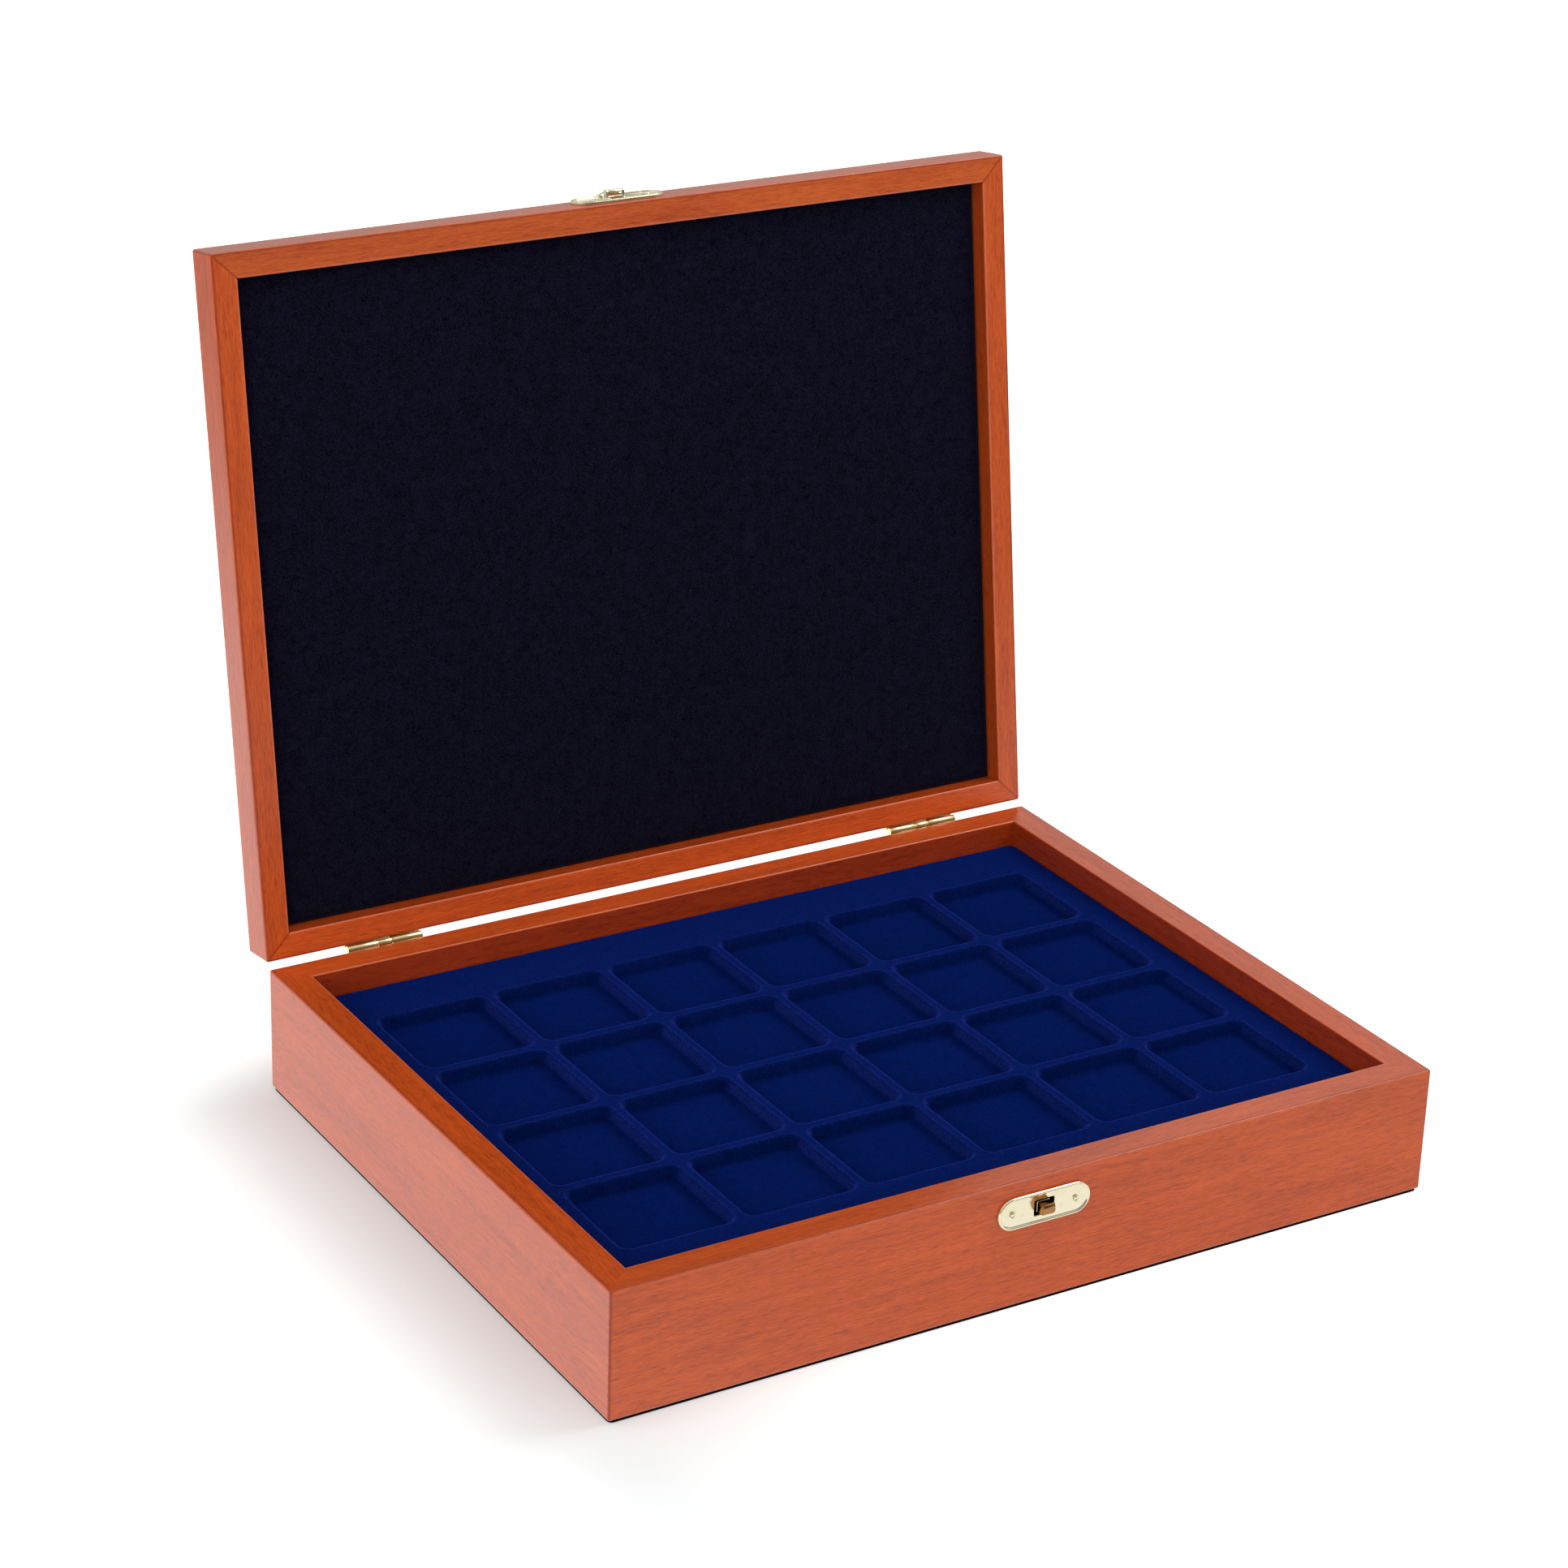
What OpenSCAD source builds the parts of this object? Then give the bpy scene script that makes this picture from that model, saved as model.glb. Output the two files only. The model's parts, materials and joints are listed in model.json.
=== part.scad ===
// Wooden coin display case: a mitred hardwood base and lid on two brass stop
// hinges, a brass hasp clasp, and a stack of three lift-out flocked coin trays.
// X runs left to right, Y front to back and Z up, with the origin at the middle
// of the felted underside. The lid stands open against its hinge stops, and the
// hasp is flipped back over the lid.

/* [Case] */
// Width of the case, left to right
case_w = 305; // [290:1:360]
// Depth of the case, front to back
case_d = 240; // [230:1:300]
// Height of the base with its felt
base_h = 45; // [42:1:60]
// Height of the lid, from its rim to its top
lid_h = 14.8; // [13:0.2:22]
// Thickness of the four base walls
wall_t = 11; // [10:0.5:13]
// Width of the four lid rails
rail_t = 9; // [8.5:0.5:12]
// Gap between the two rims when the lid is closed
rim_gap = 0.2; // [0.1:0.1:0.6]
// Radius along the outer edges of the wood
edge_r = 1; // [0.6:0.1:1.6]
// Radius along the inner edge of each rim
inner_edge_r = 0.6; // [0.3:0.1:0.9]
// Angle at which the hinge stops hold the open lid
lid_open = 98; // [92:1:105]

/* [Panels] */
// Thickness of the floor board
floor_t = 4; // [3:0.5:5]
// Width of the rabbet that holds the floor board
floor_rabbet = 5; // [3:0.5:6]
// Thickness of the felt under the base
felt_t = 1; // [0.8:0.1:2]
// Distance from the base's outer faces to the felt's edge
felt_inset = 0.6; // [0.3:0.1:3]
// Thickness of the lid's top panel
panel_t = 4; // [3:0.5:5]
// Width of the rabbet that holds the lid's top panel
panel_rabbet = 5; // [3:0.5:6]
// Thickness of the velvet-covered liner board in the lid
liner_t = 5.4; // [3:0.2:6.4]
// Radius of the liner board's velvet edge
liner_edge_r = 1.2; // [0.5:0.1:1.5]
// Clearance round each board in its frame
board_gap = 0.15; // [0.05:0.05:0.4]

/* [Coin trays] */
// Height of one tray, from its foot to its top face
tray_h = 10.3; // [9:0.1:10.9]
// Clearance between a tray and the base walls
tray_gap = 0.3; // [0.2:0.1:1]
// Corner radius of a tray
tray_r = 3; // [2:0.5:6]
// Thickness of the flocked sheet
sheet_t = 1; // [0.8:0.1:1.2]
// Side of a square coin pocket at its mouth
pocket_w = 39.4; // [34:0.2:41.2]
// Depth of a coin pocket
pocket_depth = 5; // [4.4:0.1:6]
// How far each pocket wall leans in from mouth to floor
pocket_draft = 0.7; // [0.4:0.1:1]
// Corner radius of a pocket at its mouth
pocket_r = 3.5; // [2.5:0.1:6]
// Distance between pocket columns
pitch_x = 43.8; // [43.6:0.1:48]
// Distance between pocket rows
pitch_y = 44.2; // [43.6:0.1:50]
// Least flat margin round the pockets
tray_margin = 8; // [6:1:9]

/* [Hinges] */
// Width of a hinge
hinge_w = 28; // [22:1:34]
// Distance from the side of the case to the middle of a hinge
hinge_inset = 43.5; // [30:0.5:60]
// Height of a hinge leaf on the wood
leaf_h = 10; // [8.5:0.5:11]
// Thickness of a hinge leaf
leaf_t = 0.8; // [0.7:0.1:1]
// Outer diameter of a hinge knuckle
knuckle_d = 2.6; // [2.4:0.1:3.2]
// Clearance between a leaf's edge and the other leaf's knuckles
knuckle_gap = 0.4; // [0.3:0.05:0.45]
// Clearance between the wood and the knuckles that turn past it
barrel_gap = 0.2; // [0.15:0.05:0.4]
// Diameter of a hinge pin
pin_d = 1.4; // [1:0.1:1.6]
// Radial play of a pin in its knuckles
pin_play = 0.03; // [0.02:0.01:0.08]
// Width of the lid leaf's middle knuckle
mid_knuckle_w = 5; // [3.5:0.1:8]
// Gap between neighbouring knuckles
knuckle_side_gap = 0.25; // [0.15:0.05:0.5]
// Distance between the two screws of a leaf
screw_span = 18; // [14:0.5:20]
// Head diameter of a hinge screw
screw_head_d = 3.6; // [3:0.1:4]
// Shank diameter of a hinge screw
screw_d = 1.8; // [1.4:0.1:2.2]
// Length of a hinge screw
screw_l = 8; // [5:0.5:9]
// Width of a screw's slot
screw_slot = 0.5; // [0.3:0.1:0.8]
// How far the base leaf's stop tails reach behind the pin
stop_reach = 4.2; // [3.4:0.2:6]
// Gap between the open lid leaf and the stop tails
stop_gap = 0.05; // [0.02:0.01:0.1]

/* [Clasp] */
// Length of each clasp plate
plate_l = 34.4; // [30:0.2:40]
// Height of each clasp plate
plate_h = 11.2; // [10.4:0.2:12]
// Thickness of the plate sheet
plate_t = 0.7; // [0.5:0.1:0.9]
// Height of the raised border above the plate sheet
border_rise = 0.5; // [0.3:0.1:0.6]
// Width of the raised border at its foot
border_w = 1.2; // [0.8:0.1:1.5]
// Width of the bevel on each side of the border
border_bevel = 0.4; // [0.2:0.05:0.4]
// Width of the window in the base's plate
window_w = 7.4; // [7:0.1:7.8]
// Height of the window in each plate
window_h = 5.4; // [5.2:0.1:5.8]
// Distance from the base's rim down to the middle of its plate
plate_drop = 10.6; // [8:0.1:13]
// Distance between a plate's two nails
nail_span = 23.6; // [20:0.2:25]
// Shank diameter of a nail
nail_d = 1.1; // [0.8:0.1:1.4]
// Head diameter of a nail
nail_head_d = 2; // [1.8:0.1:2.4]
// Height of a nail's domed head
nail_head_h = 0.6; // [0.4:0.1:0.9]
// Length of a nail below its head
nail_l = 8; // [5:0.5:9]
// Width of the nose that the hasp snaps over
nose_w = 4.4; // [4:0.1:5.2]
// Height of the nose's neck
nose_h = 3.4; // [3:0.1:4]
// Thickness of the nose's foot, let into the wall behind the plate
nose_foot_t = 0.8; // [0.6:0.1:1]
// How far the nose's foot reaches behind the plate, past each edge of the window
nose_foot_lap = 0.8; // [0.5:0.1:1.2]
// How far the nose stands out from the wood
nose_reach = 3.8; // [3.2:0.1:4.2]
// Length of the sloped tip that the hasp rides over
nose_tip = 0.7; // [0.5:0.1:0.9]
// Height of the barb behind the tip, which the hasp snaps past
nose_barb = 0.2; // [0.1:0.05:0.2]
// Thickness of the hasp's strip
hasp_t = 0.7; // [0.5:0.1:0.9]
// Width of the hasp's strip
hasp_w = 5; // [4.4:0.1:5.2]
// Outer diameter of the hasp's eye
hasp_eye_d = 9.4; // [8.8:0.1:10]
// Clearance between the hasp's eye and the nose
hasp_play = 0.35; // [0.25:0.05:0.5]
// Diameter of the hasp's pin
hasp_pin_d = 0.9; // [0.7:0.1:1]
// Outer diameter of the hasp's knuckle and of the ears that hold it
hasp_knuckle_d = 2.2; // [2:0.1:2.4]
// Height of the hasp's pin above the middle of the lid plate
hasp_rise = 2; // [1.5:0.1:2.2]
// Distance from the wood to the hasp's pin
hasp_stand = 2.4; // [2.3:0.1:2.8]
// Angle that the hasp swings through from the nose to its flipped rest
hasp_swing = 200; // [180:1:200]
// Thickness of the two ears that hold the hasp's pin
ear_t = 0.8; // [0.6:0.1:1.2]
// Gap between the hasp and each ear
ear_gap = 0.2; // [0.1:0.05:0.3]

/* [Hidden] */
$fn = 48;

wood_colour = "#a9502f";
inner_wood_colour = "#8d3a22";
flock_colour = "#10164f";
velvet_colour = "#0b0d1d";
felt_colour = "#161616";
brass_colour = "#e0cf8d";
bronze_colour = "#8a5a2c";

// Length past a face by which a cut runs out of the wood
over = 1;
// Overlap that joins two shapes of one piece
weld = 0.05;
front_y = -case_d / 2;
back_y = case_d / 2;
rim_z = base_h;
lid_rim_z = rim_z + rim_gap;
lid_top_z = lid_rim_z + lid_h;
floor_top_z = felt_t + floor_t;

// The hinge pins lie behind the back face, level with the gap between the rims
hinge_stand = knuckle_d / 2 + barrel_gap;
hinge_y = back_y + hinge_stand;
hinge_z = rim_z + rim_gap / 2;
hinge_xs = [-case_w / 2 + hinge_inset, case_w / 2 - hinge_inset];
outer_knuckle_w = (hinge_w - mid_knuckle_w) / 2 - knuckle_side_gap;

// The trays stack on the floor board, one foot on the next tray's margin
tray_w = case_w - 2 * wall_t - 2 * tray_gap;
tray_d = case_d - 2 * wall_t - 2 * tray_gap;
columns = floor((tray_w - 2 * tray_margin) / pitch_x);
rows = floor((tray_d - 2 * tray_margin) / pitch_y);

// The clasp's two plates, one on each front face, and the hasp between them
plate_z = rim_z - plate_drop;
lid_plate_z = lid_rim_z + lid_h / 2;
hasp_y = front_y - hasp_stand;
hasp_z = lid_plate_z + hasp_rise;
hasp_l = hasp_z - plate_z;
ear_x = hasp_w / 2 + ear_gap + ear_t / 2;

// The nose's foot is let into the wall, just behind the plate
foot_w = window_w + 2 * nose_foot_lap;
foot_h = window_h + 2 * nose_foot_lap;
foot_seat = nose_foot_t + pin_play;
// Flat steps that make up the bevel of a plate's border
bevel_steps = 3;

// A rectangle with round corners, as a plan outline
module rounded_rect(w, d, r) {
    square([w - 2 * r, d], center = true);
    square([w, d - 2 * r], center = true);
    for (x = [r - w / 2, w / 2 - r], y = [r - d / 2, d / 2 - r])
        translate([x, y]) circle(r);
}

// The waste outside a quarter round of radius r in the corner at the origin
module round_waste(r) {
    difference() {
        translate([-over, -over]) square(r + over);
        translate([r, r]) circle(r);
    }
}

// A wall's section: X inwards from its outer face, Y up from its foot
module wall_section(t, h, foot_r, top_r, foot_inner_r, top_inner_r) {
    difference() {
        square([t, h]);
        round_waste(foot_r);
        translate([0, h]) mirror([0, 1]) round_waste(top_r);
        if (foot_inner_r > 0)
            translate([t, 0]) mirror([1, 0]) round_waste(foot_inner_r);
        if (top_inner_r > 0)
            translate([t, h]) rotate(180) round_waste(top_inner_r);
    }
}

// A bar of that section along X with both ends mitred, outer face at Y = 0
module mitred_bar(l, t, h) {
    intersection() {
        translate([-l / 2, 0, 0]) rotate([90, 0, 90]) linear_extrude(l) children();
        translate([0, 0, -over]) linear_extrude(h + 2 * over)
            polygon([[-l / 2, 0], [l / 2, 0], [l / 2 - t, t], [-l / 2 + t, t]]);
    }
}

// Keeps what lies inside the case's plan, so that its upright edges are round
module in_plan(z0, z1) {
    intersection() {
        children();
        translate([0, 0, z0 - over]) linear_extrude(z1 - z0 + 2 * over)
            rounded_rect(case_w, case_d, edge_r);
    }
}

// The same bar set along one side of the case: 0 front, 1 right, 2 back, 3 left
module on_side(side) {
    reach = side % 2 == 0 ? case_d / 2 : case_w / 2;
    rotate(90 * side) translate([0, -reach, 0]) children();
}

function side_length(side) = side % 2 == 0 ? case_w : case_d;

// One base wall, rabbeted inside its foot for the floor board
module base_wall(side) {
    in_plan(felt_t, rim_z)
        on_side(side) translate([0, 0, felt_t])
            mitred_bar(side_length(side), wall_t, base_h - felt_t)
                difference() {
                    wall_section(wall_t, base_h - felt_t, edge_r, edge_r, 0, inner_edge_r);
                    translate([wall_t - floor_rabbet, -over])
                        square([floor_rabbet + over, floor_t + over]);
                }
}

// One lid rail, rabbeted inside its top for the panel, with the lid closed
module lid_rail(side) {
    in_plan(lid_rim_z, lid_top_z)
        on_side(side) translate([0, 0, lid_rim_z])
            mitred_bar(side_length(side), rail_t, lid_h)
                difference() {
                    wall_section(rail_t, lid_h, edge_r, edge_r, inner_edge_r, 0);
                    translate([rail_t - panel_rabbet, lid_h - panel_t])
                        square([panel_rabbet + over, panel_t + over]);
                }
}

// Swings what is drawn on the closed lid up to its stops
module opened() {
    translate([0, hinge_y, hinge_z]) rotate([-lid_open, 0, 0])
        translate([0, -hinge_y, -hinge_z]) children();
}

// Flips what is drawn on the fastened hasp back over the lid
module flipped() {
    translate([0, hasp_y, hasp_z]) rotate([-hasp_swing, 0, 0])
        translate([0, -hasp_y, -hasp_z]) children();
}

// A cylinder along X, centred on the origin
module rod_x(d, l) {
    rotate([0, 90, 0]) cylinder(d = d, h = l, center = true);
}

// Draws its children at each nail of a plate, heads facing the front
module at_nails(z) {
    for (x = [-nail_span / 2, nail_span / 2])
        translate([x, front_y - plate_t, z]) rotate([90, 0, 0]) children();
}

// Draws its children at each screw of one hinge's leaf on the back face
module at_screws(x, z) {
    for (s = [-screw_span / 2, screw_span / 2])
        translate([x + s, back_y + leaf_t, z]) rotate([-90, 0, 0]) children();
}

leaf_top = knuckle_d / 2 + knuckle_gap;
leaf_screw_drop = leaf_top + leaf_h / 2;
base_screw_z = hinge_z - leaf_screw_drop;
lid_screw_z = hinge_z + leaf_screw_drop;

// Round hole for a nail or screw, from its plate down into the wood
module hole(d, l) {
    translate([0, 0, -l]) cylinder(d = d + 2 * pin_play, h = l + over);
}

// Depth of a screw's countersunk head
screw_head_t = (screw_head_d - screw_d) / 2;

// A countersunk slotted wood screw, its head flush with Z = 0
module wood_screw() {
    difference() {
        union() {
            translate([0, 0, -screw_head_t])
                cylinder(d1 = screw_d, d2 = screw_head_d, h = screw_head_t);
            translate([0, 0, -screw_l + screw_d]) cylinder(d = screw_d, h = screw_l - screw_d);
            translate([0, 0, -screw_l]) cylinder(d1 = screw_slot, d2 = screw_d, h = screw_d);
        }
        translate([-screw_head_d, -screw_slot / 2, -screw_head_t / 2])
            cube([2 * screw_head_d, screw_slot, screw_head_d]);
    }
}

// The hole that a countersunk screw needs, through its leaf and into the wood
module screw_hole() {
    hole(screw_d, screw_l + pin_play);
    translate([0, 0, -screw_head_t])
        cylinder(d1 = screw_d + 2 * pin_play, d2 = screw_head_d + 2 * pin_play, h = screw_head_t);
    cylinder(d = screw_head_d + 2 * pin_play, h = over);
}

// A domed brass nail, its shank along -Z and its head on Z = 0
module plate_nail() {
    dome_r = (nail_head_d * nail_head_d / 4 + nail_head_h * nail_head_h) / (2 * nail_head_h);
    translate([0, 0, -nail_l]) cylinder(d = nail_d, h = nail_l + weld);
    intersection() {
        cylinder(d = nail_head_d, h = nail_head_h);
        translate([0, 0, nail_head_h - dome_r]) sphere(r = dome_r);
    }
}

// Base front wall, let in behind the clasp plate for the nose's foot
module base_front_wall() {
    color(wood_colour) difference() {
        base_wall(0);
        at_nails(plate_z) hole(nail_d, nail_l + pin_play);
        translate([0, front_y, plate_z])
            cube([foot_w + 2 * board_gap, 2 * foot_seat, foot_h + 2 * board_gap], center = true);
    }
}
module base_right_wall() { color(wood_colour) base_wall(1); }
module base_back_wall() {
    color(wood_colour) difference() {
        base_wall(2);
        for (x = hinge_xs) at_screws(x, base_screw_z) screw_hole();
    }
}
module base_left_wall() { color(wood_colour) base_wall(3); }

// Floor board, held in the rabbets of the four walls
module base_floor() {
    side = 2 * (wall_t - floor_rabbet + board_gap);
    color(inner_wood_colour) translate([0, 0, felt_t]) linear_extrude(floor_t)
        square([case_w - side, case_d - side], center = true);
}

// Felt glued over the whole underside
module underside_felt() {
    color(felt_colour) linear_extrude(felt_t)
        rounded_rect(case_w - 2 * felt_inset, case_d - 2 * felt_inset, edge_r + felt_inset);
}

// A square pocket shape with leaning walls and round corners: side w at Z = 0,
// narrower by the draft at each side at Z = -depth
module drafted_pocket(w, depth, r, draft) {
    run = w / 2 - r;
    for (x = [-run, run], y = [-run, run])
        translate([x, y, -depth]) cylinder(r1 = r - draft, r2 = r, h = depth);
    for (turn = [0, 90])
        rotate(turn) translate([-run, 0, 0]) rotate([90, 0, 90]) linear_extrude(2 * run)
            polygon([[-w / 2, 0], [w / 2, 0], [w / 2 - draft, -depth], [draft - w / 2, -depth]]);
}

// Draws its children at the mouth of every pocket of a tray
module at_pockets() {
    for (i = [0 : columns - 1], j = [0 : rows - 1])
        translate([(i - (columns - 1) / 2) * pitch_x, (j - (rows - 1) / 2) * pitch_y, 0])
            children();
}

// One formed and flocked tray, its top face at Z = 0: a sheet with a skirt all
// round that stands on the tray below, and a hanging cup for each coin
module coin_tray() {
    lean = pocket_draft * sheet_t / pocket_depth;
    color(flock_colour) difference() {
        union() {
            translate([0, 0, -sheet_t]) linear_extrude(sheet_t)
                rounded_rect(tray_w, tray_d, tray_r);
            translate([0, 0, -tray_h]) linear_extrude(tray_h) difference() {
                rounded_rect(tray_w, tray_d, tray_r);
                rounded_rect(tray_w - 2 * sheet_t, tray_d - 2 * sheet_t, tray_r - sheet_t);
            }
            at_pockets() drafted_pocket(pocket_w + 2 * sheet_t, pocket_depth + sheet_t,
                                        pocket_r + sheet_t, pocket_draft + lean);
        }
        at_pockets() translate([0, 0, weld]) drafted_pocket(
            pocket_w, pocket_depth + weld, pocket_r, pocket_draft);
    }
}

// Trays are numbered from the floor up
module tray(level) { translate([0, 0, floor_top_z + level * tray_h]) coin_tray(); }
module tray_bottom() { tray(1); }
module tray_middle() { tray(2); }
module tray_top() { tray(3); }

// Outline of a clasp plate, drawn in by a margin all round
module plate_outline(margin) {
    h = plate_h - 2 * margin;
    square([plate_l - plate_h, h], center = true);
    for (x = [-1, 1]) translate([x * (plate_l - plate_h) / 2, 0]) circle(d = h);
}

// A stamped plate with a bevelled raised border and a window of width w. It is
// drawn lying down, with its back on Z = 0
module stamped_plate(w) {
    difference() {
        union() {
            linear_extrude(plate_t) plate_outline(0);
            for (i = [0 : bevel_steps - 1]) {
                margin = border_bevel * i / bevel_steps;
                linear_extrude(plate_t + border_rise * (i + 1) / bevel_steps) difference() {
                    plate_outline(margin);
                    plate_outline(border_w - margin);
                }
            }
        }
        translate([0, 0, -over]) linear_extrude(plate_t + 2 * over)
            square([w, window_h], center = true);
    }
}

// Stands a plate on the front face, with its middle at height z
module on_front(z) {
    translate([0, front_y, z]) rotate([90, 0, 0]) children();
}

module clasp_base_plate() {
    color(brass_colour) difference() {
        on_front(plate_z) stamped_plate(window_w);
        at_nails(plate_z) hole(nail_d, plate_t + over);
    }
}

// The nose: a bent bronze hook that comes out through the plate's window
module clasp_nose() {
    neck = nose_reach - nose_tip;
    color(bronze_colour) translate([0, front_y, plate_z]) {
        translate([-foot_w / 2, 0, -foot_h / 2]) cube([foot_w, nose_foot_t, foot_h]);
        translate([-nose_w / 2, 0, 0]) rotate([90, 0, 90]) linear_extrude(nose_w) polygon([
            [weld, -nose_h / 2],
            [-neck, -nose_h / 2],
            [-nose_reach, -nose_h / 6],
            [-nose_reach + nose_tip / 3, nose_h / 3],
            [-neck, nose_h / 2 + nose_barb],
            [-neck + nose_barb, nose_h / 2],
            [weld, nose_h / 2]
        ]);
    }
}

module clasp_base_nails() { color(brass_colour) at_nails(plate_z) plate_nail(); }

// One knuckle about the hinge pin, rolled from its leaf, which rises to it
// flat on the wood. It is drawn for the base leaf, below the pin
module hinge_knuckle(x, w) {
    translate([x, hinge_y, hinge_z]) rod_x(knuckle_d, w);
    translate([x - w / 2, back_y, hinge_z - leaf_top - weld])
        cube([w, leaf_t, leaf_top + weld - knuckle_d / 4]);
}

module leaf_plate(x) {
    translate([x - hinge_w / 2, back_y, hinge_z - leaf_top - leaf_h])
        cube([hinge_w, leaf_t, leaf_h]);
}

// Distance behind the pin at which the stop tails leave their knuckles
tail_start = knuckle_d / 5;
// Centres of the base leaf's two knuckles beside the middle of the hinge
knuckle_xs = [-(hinge_w - outer_knuckle_w) / 2, (hinge_w - outer_knuckle_w) / 2];

// The base leaf: two knuckles, each with a stop tail that the lid leaf meets
module base_leaf(x) {
    color(brass_colour) difference() {
        union() {
            leaf_plate(x);
            for (k = knuckle_xs) {
                hinge_knuckle(x + k, outer_knuckle_w);
                translate([x + k - outer_knuckle_w / 2, hinge_y, hinge_z])
                    rotate([90 - lid_open, 0, 0])
                        translate([0, tail_start, hinge_stand - stop_gap - 2 * leaf_t])
                            cube([outer_knuckle_w, stop_reach - tail_start, leaf_t]);
            }
        }
        translate([x, hinge_y, hinge_z]) rod_x(pin_d + 2 * pin_play, hinge_w + over);
        at_screws(x, base_screw_z) screw_hole();
    }
}

// The lid leaf: the same plate mirrored above the pin, with the middle knuckle
module lid_leaf(x) {
    color(brass_colour) difference() {
        translate([0, 0, 2 * hinge_z]) mirror([0, 0, 1]) {
            leaf_plate(x);
            hinge_knuckle(x, mid_knuckle_w);
        }
        translate([x, hinge_y, hinge_z]) rod_x(pin_d + 2 * pin_play, hinge_w + over);
        at_screws(x, lid_screw_z) screw_hole();
    }
}

module hinge_pin(x) {
    color(brass_colour) translate([x, hinge_y, hinge_z]) rod_x(pin_d, hinge_w);
}

module hinge_left_base_leaf() { base_leaf(hinge_xs[0]); }
module hinge_right_base_leaf() { base_leaf(hinge_xs[1]); }
module hinge_left_pin() { hinge_pin(hinge_xs[0]); }
module hinge_right_pin() { hinge_pin(hinge_xs[1]); }
module hinge_base_screws() {
    color(brass_colour) for (x = hinge_xs) at_screws(x, base_screw_z) wood_screw();
}

module lid_front_rail() {
    color(wood_colour) opened() difference() {
        lid_rail(0);
        at_nails(lid_plate_z) hole(nail_d, nail_l + pin_play);
    }
}
module lid_right_rail() { color(wood_colour) opened() lid_rail(1); }
module lid_back_rail() {
    color(wood_colour) opened() difference() {
        lid_rail(2);
        for (x = hinge_xs) at_screws(x, lid_screw_z) screw_hole();
    }
}
module lid_left_rail() { color(wood_colour) opened() lid_rail(3); }

// Top panel of the lid, flush in the rails' rabbets
module lid_panel() {
    side = 2 * (rail_t - panel_rabbet + board_gap);
    color(wood_colour) opened() translate([0, 0, lid_top_z - panel_t])
        linear_extrude(panel_t) square([case_w - side, case_d - side], center = true);
}

// Padded velvet liner under the panel, with a soft edge towards the base
module lid_liner() {
    w = case_w - 2 * (rail_t + board_gap);
    d = case_d - 2 * (rail_t + board_gap);
    r = liner_edge_r;
    color(velvet_colour) opened() translate([0, 0, lid_top_z - panel_t - liner_t]) {
        translate([0, 0, r]) linear_extrude(liner_t - r) square([w, d], center = true);
        linear_extrude(liner_t) square([w - 2 * r, d - 2 * r], center = true);
        for (y = [r - d / 2, d / 2 - r]) translate([0, y, r]) rod_x(2 * r, w - 2 * r);
        for (x = [r - w / 2, w / 2 - r])
            translate([x, 0, r]) rotate([90, 0, 0])
                cylinder(r = r, h = d - 2 * r, center = true);
        for (x = [r - w / 2, w / 2 - r], y = [r - d / 2, d / 2 - r])
            translate([x, y, r]) sphere(r);
    }
}

// Lid plate, with two ears bent up from the sides of its window to hold the
// hasp's pin, and its border cut away where the flipped hasp lies
module clasp_lid_plate() {
    color(brass_colour) opened() difference() {
        union() {
            on_front(lid_plate_z) difference() {
                stamped_plate(hasp_w + 2 * ear_gap);
                translate([-ear_x, plate_h / 2 - border_w - hasp_play, plate_t])
                    cube([2 * ear_x, plate_h, plate_h]);
            }
            for (x = [-ear_x, ear_x]) {
                translate([x, hasp_y, hasp_z]) rod_x(hasp_knuckle_d, ear_t);
                translate([x - ear_t / 2, hasp_y, hasp_z - hasp_knuckle_d / 2])
                    cube([ear_t, hasp_stand, hasp_knuckle_d]);
            }
        }
        translate([0, hasp_y, hasp_z]) rod_x(hasp_pin_d + 2 * pin_play, plate_h);
        at_nails(lid_plate_z) hole(nail_d, plate_t + over);
    }
}

module clasp_lid_nails() { color(brass_colour) opened() at_nails(lid_plate_z) plate_nail(); }

module clasp_hasp_pin() {
    color(brass_colour) opened() translate([0, hasp_y, hasp_z])
        rod_x(hasp_pin_d, hasp_w + 2 * (ear_gap + ear_t));
}

// The hasp: a spring strip with a knuckle at the lid plate, an eye for the nose
// and a rolled lip for the finger
module clasp_hasp() {
    slot_w = nose_w + 2 * hasp_play;
    slot_h = nose_h + 2 * hasp_play;
    color(brass_colour) opened() flipped() difference() {
        translate([0, hasp_y, hasp_z]) {
            rod_x(hasp_knuckle_d, hasp_w);
            translate([-hasp_w / 2, hasp_knuckle_d / 2 - hasp_t, -hasp_l])
                cube([hasp_w, hasp_t, hasp_l]);
            translate([0, hasp_knuckle_d / 2, -hasp_l]) rotate([90, 0, 0])
                cylinder(d = hasp_eye_d, h = hasp_t);
            translate([0, hasp_knuckle_d / 2 - hasp_t, -hasp_l - hasp_eye_d / 2 + hasp_t / 2])
                rod_x(2 * hasp_t, hasp_w);
        }
        translate([0, hasp_y, hasp_z]) rod_x(hasp_pin_d + 2 * pin_play, hasp_w + over);
        translate([-slot_w / 2, hasp_y - hasp_knuckle_d, hasp_z - hasp_l - slot_h / 2])
            cube([slot_w, 2 * hasp_knuckle_d, slot_h]);
    }
}

module hinge_left_lid_leaf() { opened() lid_leaf(hinge_xs[0]); }
module hinge_right_lid_leaf() { opened() lid_leaf(hinge_xs[1]); }
module hinge_lid_screws() {
    color(brass_colour) opened() for (x = hinge_xs) at_screws(x, lid_screw_z) wood_screw();
}

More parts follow.
